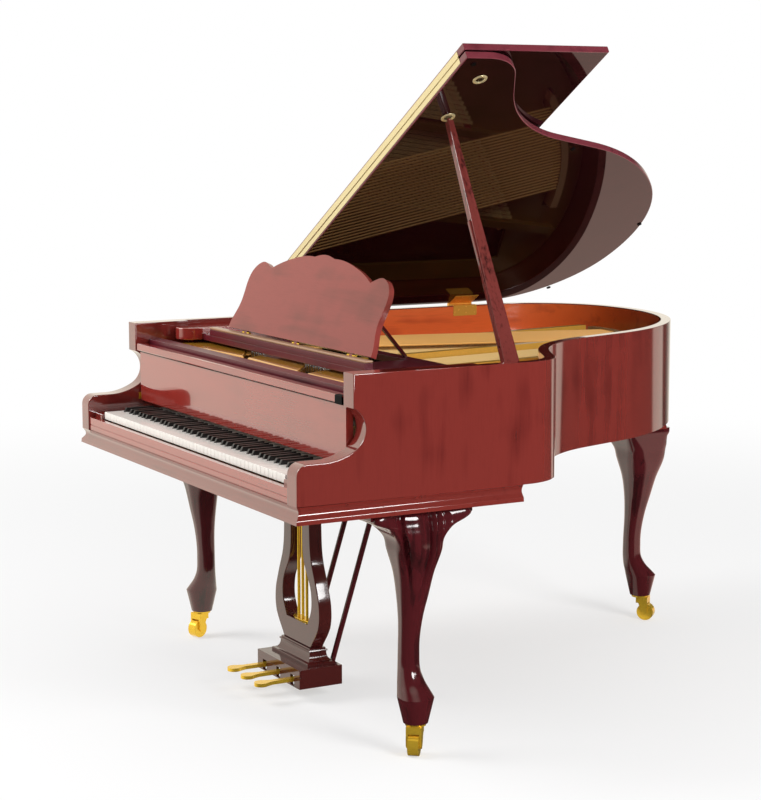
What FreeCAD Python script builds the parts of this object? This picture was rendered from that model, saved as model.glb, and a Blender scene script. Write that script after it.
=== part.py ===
"""Grand piano with an open lid on cabriole legs, built as separate pieces.

Frame while drawing: X to the treble side, Y from the keyboard to the tail, Z up.
Y = 0 is the front face of the arms and Z = 0 the floor. Every piece is moved by
ORIGIN at the end, so that the origin is below the middle of the whole piano.
"""
import FreeCAD, Part
import math
import os
from FreeCAD import Vector

# Case
RIM_TOP = 1000.0
RIM_BOTTOM = 684.0
RIM_THICKNESS = 30.0
ARM_THICKNESS = 55.0
ARM_LENGTH = 330.0
INNER_RIM_THICKNESS = 40.0
INNER_RIM_TOP = 860.0
GLUE_GAP = 0.2
CUT = 10.0
JOIN = 1.0
BORE_ROOM = 1.0

# Plan of the rim, walked from the treble arm round the tail to the spine
SIDE_LENGTH = 665.0
SHOULDER_TURN = 63.0
SHOULDER_RADIUS = 150.0
SHOULDER_RUN = 105.0
WAIST_TURN = 46.0
WAIST_RADIUS = 470.0
BENTSIDE_RUN = 160.0
BENTSIDE_TURN = 33.0
BENTSIDE_RADIUS = 760.0
TAIL_TURN = 50.0
TAIL_RADIUS = 600.0

# Scrolled arm
ARM_SETBACK = 156.0
ARM_TOP = 788.0
COVE_RADIUS = 58.0
COVE_START = 66.0
COVE_END = -60.0
SWEEP_RADIUS = 178.0
ARM_NOSE_RADIUS = 30.0

# Key bed and mouldings under the case
MOULDING_BOTTOM = 640.0
MOULDING_WIDTH = 40.0
MOULDING_LENGTH = 650.0
MOULDING_NECK = 8.0
MOULDING_FLARE = 3.0
NECK_END = 0.75
FLARE_START = 0.5
FLARE_POWER = 0.6
TAIL_BLOCK_WIDTH = 210.0
TAIL_BLOCK_DEPTH = 191.0

# Lid
LID_ANGLE = 31.2
LID_THICKNESS = 20.0
LID_OVERHANG = 14.0
LID_GAP = 3.0
LID_FRONT = 595.0
FLAP_DEPTH = 455.0
FLAP_GAP = 3.0
HINGE_KNUCKLE_RADIUS = 5.0
HINGE_PIN_RADIUS = 2.5
HINGE_LENGTH = 90.0
HINGE_LEAF = 1.1
HINGE_LEAF_DEPTH = 34.0
HINGE_STRAP_DEPTH = 54.0
HINGE_OFFSET = 0.5
KNUCKLE_GAP = 0.2
LID_HINGE_SHARES = (0.526, 0.899)
BUTTON_RADIUS = 7.0
BUTTON_EDGES = (0, 4, 6, 7)
CUP_RADIUS = 20.0
CUP_THICKNESS = 2.0
PIANO_HINGE_KNUCKLE = 2.2
PIANO_HINGE_PIN = 1.2
PIANO_HINGE_LEAF = 1.0
PIANO_HINGE_SEGMENT = 40.0
PIANO_HINGE_SHARE = 0.75
PIANO_HINGE_LIFT = 0.3

# Lid prop
CUP_ACROSS = 1182.0
CUP_ALONG = 689.0
SHORT_CUP_ACROSS = 1372.0
PROP_FOOT_X = 662.0
PROP_FOOT_SETBACK = 10.0
PROP_FOOT_Z = 975.0
PROP_WIDTH_FOOT = 46.0
PROP_WIDTH_TIP = 16.0
PROP_THICKNESS = 20.0
PROP_TIP_GAP = 0.5
PROP_BALL_RADIUS = 7.0
PROP_NECK_LENGTH = 10.5
PROP_SLOT_START = 70.0
PROP_SHORT_LENGTH = 360.0
PROP_SHORT_WIDTH = 14.0
PROP_SHORT_THICKNESS = 9.0
PROP_PIN_RADIUS = 5.0
SHORT_PIN_RADIUS = 2.5
SHORT_PIVOT_OFFSET = 13.2
SHORT_PIN_INSET = 0.5
SLOT_ROOM = 2.0
BRACKET_GAP = 0.5
BRACKET_EAR = 4.0
BRACKET_EAR_SHARE = 0.6
BRACKET_DEPTH_SHARE = 0.7
BRACKET_DROP = 3.0
BRACKET_FLOOR = 8.0
BRACKET_BLOCK_REACH = 12.0
BRACKET_BLOCK_HEIGHT = 22.0

# Music desk
DESK_HINGE_Y = 366.0
DESK_HINGE_Z = 992.0
DESK_TILT = 22.6
DESK_HALF_WIDTH = 443.0
DESK_HEIGHT = 262.0
DESK_THICKNESS = 16.0
DESK_PIN_RADIUS = 2.0
DESK_FLANK = ((1.0, 0.02), (0.99, 0.12), (0.95, 0.30), (0.95, 0.47), (0.957, 0.59), (0.94, 0.706),
              (0.89, 0.79), (0.813, 0.834), (0.75, 0.815), (0.684, 0.766))
DESK_ARCH = ((0.684, 0.766), (0.56, 0.85), (0.43, 0.91), (0.226, 0.966), (0.135, 0.966))
DESK_CREST = ((0.135, 0.966), (0.10, 0.98), (0.045, 0.996), (0.0, 1.0))
DESK_HINGE_SHARES = (-0.74, 0.0, 0.74)
DESK_HINGE_LENGTH = 44.0
DESK_LUG = 14.0
DESK_LUG_GAP = 1.0
DESK_LEAF_DEPTH = 12.0
DESK_LEAF_THICKNESS = 2.0
LEDGE_DROP = 6.0
LEDGE_SETBACK = 6.0
TRAY_TOP = 968.0
TRAY_THICKNESS = 18.0
TRAY_FRONT = 336.0
TRAY_BACK = 590.0
TRAY_GAP = 7.0
TRAY_RAIL_DEPTH = 22.0
TRAY_BAR = 42.0
TRAY_OPENING_HALF = 300.0
SHELF_FRONT = 270.0
SHELF_WIDTH = 140.0
SHELF_CORNER = 60.0
STRUT_HEIGHT = 152.0
STRUT_LENGTH = 205.0
STRUT_WIDTH = 12.0
STRUT_THICKNESS = 8.0
STRUT_PIN_RADIUS = 2.0
STRUT_X = 250.0
STRUT_STANDOFF = 6.0
STRUT_LUG = 4.0
STRUT_LUG_GAP = 0.5
STRUT_LUG_HALF = 6.0
RUNNER_HEIGHT = 20.0
FRONT_RAIL_Y = 200.0
FRONT_RAIL_DEPTH = 43.0
FRONT_RAIL_HEIGHT = 60.0

# Fallboard
FALLBOARD_Y = 168.0
FALLBOARD_THICKNESS = 20.0
FALLBOARD_BOTTOM = 766.0
FALLBOARD_TOP = 938.0
FALLBOARD_GAP = 8.0
NOSING_HEIGHT = 14.0
NOSING_DEPTH = 10.0
FALLBOARD_PIVOT_Y = 174.0
FALLBOARD_PIVOT_Z = 778.0
FALLBOARD_PIN_RADIUS = 4.0
FALLBOARD_PIN_DEPTH = 14.0
PIVOT_PLATE = 2.0
PIVOT_PLATE_HALF = 10.0

# Keys
WHITE_COUNT = 52
KEY_COUNT = 88
WHITE_PITCH = 23.5
KEY_CLEARANCE = 1.0
KEY_FRONT = 27.5
KEY_TOP = 745.0
KEY_THICKNESS = 22.0
KEY_LENGTH = 395.0
HEAD_LENGTH = 50.0
SHARP_WIDTH = 10.5
SHARP_HEIGHT = 12.0
SHARP_LENGTH = 95.0
SHARP_SHIFT = {0: -2.5, 1: 2.5, 3: -3.5, 4: 0.0, 5: 3.5}
KEY_TRAVEL = 2.6
BALANCE_Y = 245.0
BALANCE_BEAD = 5.0
SINGLE_KEY_INDEX = {"f": 26, "g": 27}
KEY_FRAME_GAP = 20.0
KEY_FRAME_FRONT = 34.0
KEY_FRAME_BACK = 420.0
KEY_FRAME_THICKNESS = 16.0
KEY_FRAME_STEP = 30.0
KEY_RAIL_WIDTH = 20.0
SLIDE_GAP = 0.3
KEY_SLIP_TOP = 722.0
KEY_SLIP_FRONT = 4.0
KEY_SLIP_THICKNESS = 16.0
GROOVE_SHARE = 0.4
GROOVE_WIDTH = 2.0
GROOVE_DEPTH = 1.0
KEY_BLOCK_GAP = 4.0
KEY_BLOCK_WIDTH = 60.0
KEY_BLOCK_TOP = 736.0
HAMMER_RAIL_TOP = 812.0
HAMMER_RAIL_SETBACK = 75.0
HAMMER_LENGTH = 175.0
HAMMER_WIDTH = 8.0
HAMMER_TOP = 850.0
HAMMER_HEAD = 22.0
HAMMER_TAPER = 4.0
SHANK_DROP = 8.0
SHANK_THICKNESS = 6.0

# Strings and plate
SOUNDBOARD_THICKNESS = 8.0
BELLY_RAIL_Y = 560.0
BELLY_RAIL_DEPTH = 40.0
BEAM_WIDTH = 70.0
BEAM_HEIGHT = 80.0
BEAM_SHARES = ((-0.575, 0.0), (-0.164, 8.0), (0.274, 14.0))
RIB_HEIGHT = 15.0
RIB_WIDTH = 25.0
RIB_COUNT = 7
PIN_BLOCK_SETBACK = 15.0
PIN_BLOCK_BACK = 470.0
PLATE_TOP = 905.0
PLATE_THICKNESS = 12.0
PLATE_INSET = 34.0
PLATE_WALL = 30.0
PLATE_RING = 66.0
PLATE_OPENING_FRONT = 490.0
BAR_WIDTH = 26.0
BAR_TOP = 935.0
BAR_ROOM = 2.0
BAR_LAP = 15.0
BAR_CLEAR = 6.0
BAR_SHARES = (-0.452, -0.027, 0.37, 0.685)
STRING_START = 430.0
TREBLE_LEAN = -8.0
BASS_LEAN = 14.0
TREBLE_STRING_Z = 918.0
BASS_STRING_Z = 942.0
TREBLE_STRING_RADIUS = 0.8
BASS_STRING_RADIUS = 1.6
TREBLE_SHARES = (-0.418, 0.808)
TREBLE_COUNT = 60
BASS_SHARES = (-0.877, -0.507)
BASS_COUNT = 24
BASS_HITCH_INSET = 70.0
TUNING_PIN_RADIUS = 3.4
TUNING_PIN_HEIGHT = 34.0
TUNING_ROWS = (29.0, 47.0, 65.0)
BRIDGE_WIDTH = 30.0
TREBLE_BRIDGE_SHARES = ((0.822, 0.326), (0.192, 0.564), (-0.685, 0.837))
TREBLE_PANEL = 30.0
TREBLE_HITCH = 45.0
BASS_BRIDGE_INSET = 110.0
BASS_BRIDGE_WIDTH = 26.0
BASS_BRIDGE_SHARES = (-0.562, -0.055)
BRIDGE_ROOM = 10.0
STRING_SEAT = 0.2
DAMPER_Y = 625.0
DAMPER_LENGTH = 42.0
DAMPER_WIDTH = 8.0
DAMPER_HEIGHT = 20.0
DAMPER_SEAT = 0.3
UNDAMPED_COUNT = 18

# Legs and casters
LEG_INSET = 92.0
LEG_AXIS_Y = 364.0
REAR_LEG_SHARE = -0.24
REAR_LEG_SETBACK = 118.0
LEG_PLATE_HALF = 86.0
LEG_WING = 66.0
LEG_PLATE_THICKNESS = 18.0
LEG_FOOT = 82.0
FOOT_REACH = 36.0
KNEE_REACH = 26.0
ANKLE_REACH = -1.0
KNEE_HALF = 68.0
ANKLE_HALF = 28.0
FOOT_HALF = 46.0
WHEEL_RADIUS = 27.0
WHEEL_WIDTH = 28.0
CASTER_TRAIL = 20.0
CASTER_PLATE_RADIUS = 27.0
CASTER_PLATE_THICKNESS = 6.0
CASTER_STEM_RADIUS = 6.0
CASTER_STEM_LENGTH = 30.0
FORK_THICKNESS = 6.0
FORK_CROWN_GAP = 3.0
AXLE_RADIUS = 4.0
FORK_EAR = 8.8
RUNNING_GAP = 0.05
CASTER_GAP = 0.5
CASTER_ANGLES = {"front_left": -70.0, "front_right": -40.0, "rear": 40.0}

# Lyre and pedals
BOX_FRONT = 302.0
BOX_BACK = 436.0
BOX_HALF_WIDTH = 135.0
BOX_BOTTOM = 37.0
BOX_TOP = 92.0
BOX_WALL = 9.0
PLINTH_HEIGHT = 44.0
PLINTH_STEPS = (30.0, 18.0, 8.0)
PLINTH_DEPTH_SHARE = 0.8
LYRE_FRONT = 362.0
LYRE_THICKNESS = 40.0
LYRE_HALF_TOP = 82.0
LYRE_HALF_BULGE = 138.0
LYRE_HALF_FOOT = 84.0
LYRE_ARM = 46.0
LYRE_WAIST_DIP = 2.0
LYRE_WAIST_FLARE = 8.0
LYRE_SHOULDER_EASE = 20.0
LYRE_FOOT_EASE = 4.0
LYRE_OPENING_EASE = 6.0
LYRE_CAP_HEIGHT = 46.0
LYRE_CAP_OVERHANG = 16.0
LYRE_CAP_STEP = 6.0
PEDAL_PITCH = 89.0
PEDAL_TIP_Y = 186.0
PEDAL_TOP_Z = 62.0
PEDAL_THICKNESS = 10.0
PEDAL_NECK = 18.0
PEDAL_TOE = 40.0
PEDAL_TAPER = 32.0
PEDAL_SLOT_SIDE = 3.0
PEDAL_SLOT_SILL = 3.0
PEDAL_SLOT_OVER = 8.0
PEDAL_PIVOT_Y = 332.0
PEDAL_PIVOT_RADIUS = 3.0
ROD_PITCH = 25.0
ROD_Y = 382.0
ROD_RADIUS = 4.5
ROD_HOLE_GAP = 1.5
ROD_SEAT = 0.4
ROD_TOP_GAP = 8.0
BRACE_X = 70.0
BRACE_RADIUS = 8.0
BRACE_TOP_Y = 612.0

KEYS_HALF = WHITE_COUNT * WHITE_PITCH / 2
HALF = KEYS_HALF + KEY_BLOCK_GAP + KEY_BLOCK_WIDTH + ARM_THICKNESS
CASE_WIDTH = 2 * HALF
FALLBOARD_HALF_WIDTH = HALF - ARM_THICKNESS - FALLBOARD_GAP
TRAY_HALF_WIDTH = HALF - ARM_THICKNESS - TRAY_GAP
KEY_FRAME_HALF_WIDTH = HALF - RIM_THICKNESS - INNER_RIM_THICKNESS - KEY_FRAME_GAP
KEY_BLOCK_INNER = KEYS_HALF + KEY_BLOCK_GAP
PIN_BLOCK_FRONT = ARM_LENGTH + PIN_BLOCK_SETBACK
KEY_BOTTOM = KEY_TOP - KEY_THICKNESS
KEY_BACK = KEY_FRONT + KEY_LENGTH
BALANCE_Z = KEY_BOTTOM - SLIDE_GAP - BALANCE_BEAD
LEDGE_TOP = DESK_HINGE_Z - LEDGE_DROP
LEDGE_BACK = DESK_HINGE_Y - LEDGE_SETBACK
STRUT_OFFSET = DESK_THICKNESS / 2 + STRUT_STANDOFF
BAR_PLACES = [HALF * share for share in BAR_SHARES]
TREBLE_FIRST, TREBLE_LAST = [HALF * share for share in TREBLE_SHARES]
BASS_FIRST, BASS_LAST = [HALF * share for share in BASS_SHARES]
LEG_AXIS_X = HALF - LEG_INSET
REAR_LEG_X = HALF * REAR_LEG_SHARE
UP = Vector(0, 0, 1)
ACROSS = Vector(1, 0, 0)
BACK = Vector(0, 1, 0)


def box(x0, x1, y0, y1, z0, z1):
    """Block between two corners."""
    return Part.makeBox(x1 - x0, y1 - y0, z1 - z0, Vector(x0, y0, z0))


def rod(radius, start, end):
    """Round bar from one point to another."""
    along = end.sub(start)
    return Part.makeCylinder(radius, along.Length, start, along)


def polygon_face(points):
    """Flat face through points in order."""
    return Part.Face(Part.makePolygon(points + [points[0]]))


def slab(points, low, high):
    """Upright prism on a plan polygon of (x, y) points."""
    face = polygon_face([Vector(x, y, low) for x, y in points])
    return face.extrude(Vector(0, 0, high - low))


def side_prism(points, x0, x1):
    """Prism across the piano on a polygon of (y, z) points."""
    face = polygon_face([Vector(x0, y, z) for y, z in points])
    return face.extrude(Vector(x1 - x0, 0, 0))


def fuse(shapes):
    """One solid from overlapping or touching shapes."""
    joined = shapes[0]
    for shape in shapes[1:]:
        joined = joined.fuse(shape)
    return joined.removeSplitter()


def heading_vector(angle):
    """Unit vector in plan at an angle from +X."""
    return Vector(math.cos(math.radians(angle)), math.sin(math.radians(angle)), 0)


def arc_step(point, heading, turn, radius):
    """Arc from point along heading, turning left for positive turn."""
    side = 1 if turn > 0 else -1
    centre = point + heading_vector(heading + 90 * side) * radius
    middle = centre + heading_vector(heading + turn / 2 - 90 * side) * radius
    end = centre + heading_vector(heading + turn - 90 * side) * radius
    return Part.Arc(point, middle, end).toShape(), end


def outline_edges(inset, front, spine_inset, level):
    """Edges of the rim's plan, moved inwards by inset, from the treble front to the spine front."""
    point = Vector(HALF - inset, front, level)
    heading = 90.0
    steps = [("run", SIDE_LENGTH - front, 0), ("arc", SHOULDER_TURN, SHOULDER_RADIUS - inset),
             ("run", SHOULDER_RUN, 0), ("arc", -WAIST_TURN, WAIST_RADIUS + inset),
             ("run", BENTSIDE_RUN, 0), ("arc", BENTSIDE_TURN, BENTSIDE_RADIUS - inset),
             ("arc", TAIL_TURN, TAIL_RADIUS - inset)]
    edges = []
    for kind, amount, radius in steps:
        if kind == "run":
            end = point + heading_vector(heading) * amount
            edges.append(Part.LineSegment(point, end).toShape())
        else:
            edge, end = arc_step(point, heading, amount, radius)
            edges.append(edge)
            heading += amount
        point = end
    spine_x = -HALF + spine_inset
    corner = (point.x - spine_x) / (1 + math.sin(math.radians(heading)))
    edge, point = arc_step(point, heading, 270 - heading, corner)
    edges.append(edge)
    end = Vector(spine_x, front, level)
    edges.append(Part.LineSegment(point, end).toShape())
    return edges


def outline_wire(inset, front, spine_inset=None, level=0.0):
    """Closed plan of the case, straight across at front."""
    spine = inset if spine_inset is None else spine_inset
    edges = outline_edges(inset, front, spine, level)
    first = Vector(HALF - inset, front, level)
    last = Vector(-HALF + spine, front, level)
    edges.append(Part.LineSegment(last, first).toShape())
    return Part.Wire(edges)


def outline_solid(inset, front, low, high, spine_inset=None):
    """Upright solid on the case's plan."""
    face = Part.Face(outline_wire(inset, front, spine_inset, low))
    return face.extrude(Vector(0, 0, high - low))


def tail_end():
    """Furthest Y of the rim."""
    return Part.Face(outline_wire(0, 0)).BoundBox.YMax


def spine_end():
    """Y where the straight spine meets the round of the tail."""
    return outline_edges(0, 0, 0, 0)[-1].Vertexes[0].Y


REAR_LEG_Y = tail_end() - REAR_LEG_SETBACK
TREBLE_BRIDGE = [(HALF * across, tail_end() * along) for across, along in TREBLE_BRIDGE_SHARES]


def moulding_profile(count=12):
    """Cyma profile as (outset, height) pairs from top to bottom."""
    pairs = []
    height = RIM_BOTTOM - MOULDING_BOTTOM
    for step in range(count + 1):
        share = step / count
        bend = math.sin(math.pi * min(share / NECK_END, 1.0))
        swell = MOULDING_FLARE * max(0.0, (share - FLARE_START) / (1 - FLARE_START)) ** FLARE_POWER
        outset = -MOULDING_NECK * bend + swell
        pairs.append((outset, RIM_BOTTOM - height * share))
    return pairs


def case_rim():
    """Bent outer rim with the two scrolled arms."""
    outer = outline_solid(0, 0, RIM_BOTTOM, RIM_TOP)
    hollow = outline_solid(RIM_THICKNESS, -CUT, RIM_BOTTOM - CUT, RIM_TOP + CUT)
    left = box(-HALF, -HALF + ARM_THICKNESS, 0, ARM_LENGTH, RIM_BOTTOM, RIM_TOP)
    right = box(HALF - ARM_THICKNESS, HALF, 0, ARM_LENGTH, RIM_BOTTOM, RIM_TOP)
    rim = fuse([outer.cut(hollow), left, right])
    return rim.cut(arm_cut()).removeSplitter()


def arm_cut():
    """Space in front of the scrolled arm profile, right across the piano."""
    start = math.radians(COVE_START)
    finish = math.radians(COVE_END)
    slope = math.radians(90 + COVE_END)
    centre_y = ARM_SETBACK - COVE_RADIUS * math.cos(start)
    drop = SWEEP_RADIUS * (1 - math.cos(slope))
    centre_z = ARM_TOP + drop - COVE_RADIUS * math.sin(finish)
    x = -HALF - CUT

    def point(y, z):
        return Vector(x, y, z)

    def on_cove(angle):
        return point(centre_y + COVE_RADIUS * math.cos(angle), centre_z + COVE_RADIUS * math.sin(angle))

    cove_end = on_cove(finish)
    sweep_y = cove_end.y - SWEEP_RADIUS * math.sin(slope)
    half_slope = slope / 2
    sweep_mid = point(sweep_y + SWEEP_RADIUS * math.sin(half_slope),
                      ARM_TOP + SWEEP_RADIUS * (1 - math.cos(half_slope)))
    nose = ARM_NOSE_RADIUS
    nose_mid = point(nose * (1 - math.sqrt(0.5)), ARM_TOP - nose * (1 - math.sqrt(0.5)))
    corners = [point(-CUT, RIM_TOP + CUT), point(ARM_SETBACK, RIM_TOP + CUT), on_cove(start)]
    edges = [Part.LineSegment(corners[0], corners[1]).toShape(),
             Part.LineSegment(corners[1], corners[2]).toShape(),
             Part.Arc(on_cove(start), on_cove((start + finish) / 2), cove_end).toShape(),
             Part.Arc(cove_end, sweep_mid, point(sweep_y, ARM_TOP)).toShape(),
             Part.LineSegment(point(sweep_y, ARM_TOP), point(nose, ARM_TOP)).toShape(),
             Part.Arc(point(nose, ARM_TOP), nose_mid, point(0, ARM_TOP - nose)).toShape(),
             Part.LineSegment(point(0, ARM_TOP - nose), point(-CUT, ARM_TOP - nose)).toShape(),
             Part.LineSegment(point(-CUT, ARM_TOP - nose), corners[0]).toShape()]
    return Part.Face(Part.Wire(edges)).extrude(Vector(CASE_WIDTH + 2 * CUT, 0, 0))


def inner_rim():
    """Thick inner rim that carries the soundboard and the pin block."""
    outer = outline_solid(RIM_THICKNESS + GLUE_GAP, ARM_LENGTH + GLUE_GAP, RIM_BOTTOM, INNER_RIM_TOP)
    hollow = outline_solid(RIM_THICKNESS + INNER_RIM_THICKNESS, ARM_LENGTH - CUT,
                           RIM_BOTTOM - CUT, INNER_RIM_TOP + CUT)
    return outer.cut(hollow)


def key_bed():
    """Slab under the keyboard, with holes for the pedal rods."""
    bed = box(-HALF + MOULDING_WIDTH, HALF - MOULDING_WIDTH, MOULDING_WIDTH, MOULDING_LENGTH,
              MOULDING_BOTTOM, RIM_BOTTOM)
    for x in rod_places():
        bed = bed.cut(rod(ROD_RADIUS + ROD_HOLE_GAP, Vector(x, ROD_Y, MOULDING_BOTTOM - CUT),
                          Vector(x, ROD_Y, RIM_BOTTOM + CUT)))
    return bed


def base_mouldings():
    """Moulding round three sides of the key bed, mitred at the corners, and the tail's moulded block."""
    profile = moulding_profile()
    reach = MOULDING_FLARE + CUT
    width = MOULDING_WIDTH
    inner = [(width, MOULDING_BOTTOM), (width, RIM_BOTTOM)]
    section = [(-outset, z) for outset, z in profile] + inner
    front = side_prism(section, -HALF - reach, HALF + reach)
    mitre = slab([(-HALF - reach, -reach), (HALF + reach, -reach), (HALF - width, width),
                  (-HALF + width, width)], MOULDING_BOTTOM - CUT, RIM_BOTTOM + CUT)
    runs = [front.common(mitre)]
    for side in (-1, 1):
        points = [Vector(side * (HALF - y), 0, z) for y, z in section]
        run = polygon_face([p + Vector(0, -reach, 0) for p in points])
        run = run.extrude(Vector(0, MOULDING_LENGTH + reach, 0))
        corner = slab([(side * (HALF + reach), -reach), (side * (HALF + reach), MOULDING_LENGTH),
                       (side * (HALF - width), MOULDING_LENGTH), (side * (HALF - width), width)],
                      MOULDING_BOTTOM - CUT, RIM_BOTTOM + CUT)
        runs.append(run.common(corner))
    return Part.makeCompound([fuse(runs), tail_block()])


def tail_block():
    """Moulded block between the tail and the rear leg."""
    wires = [outline_wire(-outset, 0, level=z) for outset, z in moulding_profile()]
    body = Part.makeLoft(wires, True, True)
    left = REAR_LEG_X - TAIL_BLOCK_WIDTH / 2
    right = REAR_LEG_X + TAIL_BLOCK_WIDTH / 2
    room = box(left, right, tail_end() - TAIL_BLOCK_DEPTH, tail_end() + CUT, MOULDING_BOTTOM, RIM_BOTTOM)
    return body.common(room)


def inside_inner_rim(low, high, front):
    """Space within the inner rim."""
    return outline_solid(RIM_THICKNESS + INNER_RIM_THICKNESS + GLUE_GAP, front, low, high)


def back_frame():
    """Belly rail and the wooden beams under the soundboard."""
    reach = HALF - RIM_THICKNESS - INNER_RIM_THICKNESS - GLUE_GAP
    rail_back = BELLY_RAIL_Y + BELLY_RAIL_DEPTH
    rail = box(-reach, reach, BELLY_RAIL_Y, rail_back, RIM_BOTTOM, INNER_RIM_TOP)
    room = inside_inner_rim(RIM_BOTTOM, RIM_BOTTOM + BEAM_HEIGHT, rail_back)
    solids = [rail]
    for share, lean in BEAM_SHARES:
        place = share * HALF
        beam = box(-BEAM_WIDTH / 2, BEAM_WIDTH / 2, -BEAM_WIDTH, CASE_WIDTH,
                   RIM_BOTTOM, RIM_BOTTOM + BEAM_HEIGHT)
        beam.rotate(Vector(0, 0, 0), UP, lean)
        beam.translate(Vector(place, rail_back, 0))
        solids.append(beam.common(room).Solids[0])
    return Part.makeCompound(solids)


def soundboard():
    """Thin board glued on the inner rim and the belly rail."""
    return outline_solid(PLATE_INSET, BELLY_RAIL_Y, INNER_RIM_TOP, INNER_RIM_TOP + SOUNDBOARD_THICKNESS)


def soundboard_ribs():
    """Ribs under the soundboard, square to its grain."""
    rail_back = BELLY_RAIL_Y + BELLY_RAIL_DEPTH
    room = inside_inner_rim(INNER_RIM_TOP - RIB_HEIGHT, INNER_RIM_TOP, rail_back + GLUE_GAP)
    pitch = (tail_end() - rail_back) / (RIB_COUNT + 1)
    solids = []
    for index in range(RIB_COUNT):
        y = rail_back + pitch * (index + 1)
        bar = box(-HALF, HALF, y, y + RIB_WIDTH, INNER_RIM_TOP - RIB_HEIGHT, INNER_RIM_TOP)
        solids += bar.common(room).Solids
    return Part.makeCompound(solids)


def bar_solid(place, half_width, low, high):
    """Upright wall along the treble strings' direction, from place on the line STRING_START."""
    front = PLATE_OPENING_FRONT - STRING_START - BAR_LAP
    wall = box(-half_width, half_width, front, 2 * CASE_WIDTH, low, high)
    wall.rotate(Vector(0, 0, 0), UP, -TREBLE_LEAN)
    wall.translate(Vector(place, STRING_START, 0))
    return wall


def treble_arc(offset, level):
    """Plan curve of the treble bridge, moved outwards by offset."""
    points = [Vector(x, y, level) for x, y in TREBLE_BRIDGE]
    centre = Part.Arc(*points).toShape().Curve.Center
    moved = [point + (point - centre).normalize() * offset for point in points]
    return Part.Arc(*moved).toShape(), moved[0], moved[-1]


def before_treble(offset, level):
    """Flat face from the front up to the treble bridge's curve moved by offset."""
    curve, first, last = treble_arc(offset, level)
    left = Vector(-HALF, last.y, level)
    corners = [last, left, Vector(-HALF, 0, level), Vector(first.x, 0, level), first]
    edges = [curve] + [Part.LineSegment(a, b).toShape() for a, b in zip(corners, corners[1:])]
    return Part.Face(Part.Wire(Part.__sortEdges__(edges)))


def bass_band(inset, width, margin, low, high):
    """Curved bar along the tail between the bass bridge's ends, widened by margin."""
    ring = outline_solid(inset, 0, low, high).cut(outline_solid(inset + width, -CUT, low - CUT, high + CUT))
    first, last = [share * HALF for share in BASS_BRIDGE_SHARES]
    half_way = (TREBLE_BRIDGE[-1][1] + tail_end()) / 2 - 2 * TREBLE_HITCH
    return ring.common(box(first - margin, last + margin, half_way, tail_end(), low, high)).Solids[0]


def iron_plate():
    """Cast plate: front web, hitch panel, perimeter wall and bars between the string groups."""
    low = PLATE_TOP - PLATE_THICKNESS
    web = outline_solid(PLATE_INSET, PIN_BLOCK_FRONT, low, PLATE_TOP)
    opening = outline_solid(PLATE_INSET + PLATE_RING, PLATE_OPENING_FRONT, low - CUT, PLATE_TOP + CUT)
    reach = before_treble(TREBLE_PANEL, low - CUT).extrude(Vector(0, 0, PLATE_THICKNESS + 2 * CUT))
    web = web.cut(opening.common(reach))
    web = web.cut(bass_band(BASS_BRIDGE_INSET - BRIDGE_ROOM, BASS_BRIDGE_WIDTH + 2 * BRIDGE_ROOM, BRIDGE_ROOM,
                            low - CUT, PLATE_TOP + CUT))
    wall_front = BELLY_RAIL_Y + BELLY_RAIL_DEPTH
    floor = INNER_RIM_TOP + SOUNDBOARD_THICKNESS
    wall = outline_solid(PLATE_INSET, wall_front, floor, low)
    wall = wall.cut(outline_solid(PLATE_INSET + PLATE_WALL, wall_front - CUT, floor - CUT, low + CUT))
    room = outline_solid(PLATE_INSET + PLATE_RING / 2, PIN_BLOCK_FRONT, low, BAR_TOP)
    bars = [bar_solid(place, BAR_WIDTH / 2, low, BAR_TOP).common(room) for place in BAR_PLACES]
    return fuse([web, wall] + bars)


def bridges():
    """Treble and bass bridges on the soundboard, notched for the plate's bars."""
    floor = INNER_RIM_TOP + SOUNDBOARD_THICKNESS
    treble_top = TREBLE_STRING_Z - TREBLE_STRING_RADIUS - STRING_SEAT
    bass_top = BASS_STRING_Z - BASS_STRING_RADIUS - STRING_SEAT
    outer, outer_first, outer_last = treble_arc(BRIDGE_WIDTH / 2, floor)
    inner, inner_first, inner_last = treble_arc(-BRIDGE_WIDTH / 2, floor)
    pairs = ((outer_first, inner_first), (outer_last, inner_last))
    ends = [Part.LineSegment(a, b).toShape() for a, b in pairs]
    plan = Part.Face(Part.Wire(Part.__sortEdges__([outer, inner] + ends)))
    treble = plan.extrude(Vector(0, 0, treble_top - floor))
    bass = bass_band(BASS_BRIDGE_INSET, BASS_BRIDGE_WIDTH, 0, floor, bass_top)
    notch_low = PLATE_TOP - PLATE_THICKNESS - BAR_ROOM
    for place in BAR_PLACES:
        notch = bar_solid(place, BAR_WIDTH / 2 + BAR_ROOM, notch_low, BAR_TOP + BAR_ROOM / 2)
        treble = treble.cut(notch)
        bass = bass.cut(notch)
    return Part.makeCompound(treble.Solids + bass.Solids)


def pin_block():
    """Laminated plank under the front of the plate that holds the tuning pins."""
    reach = HALF - RIM_THICKNESS - GLUE_GAP
    return box(-reach, reach, PIN_BLOCK_FRONT, PIN_BLOCK_BACK, INNER_RIM_TOP, PLATE_TOP - PLATE_THICKNESS)


def spread(first, last, count):
    """Evenly spaced values from first to last."""
    return [first + (last - first) * index / (count - 1) for index in range(count)]


def treble_places():
    """Treble strings at STRING_START, leaving out those too near a bar."""
    clear = BAR_WIDTH / 2 + BAR_CLEAR
    places = spread(TREBLE_FIRST, TREBLE_LAST, TREBLE_COUNT)
    return [x for x in places if all(abs(x - place) > clear for place in BAR_PLACES)]


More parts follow.
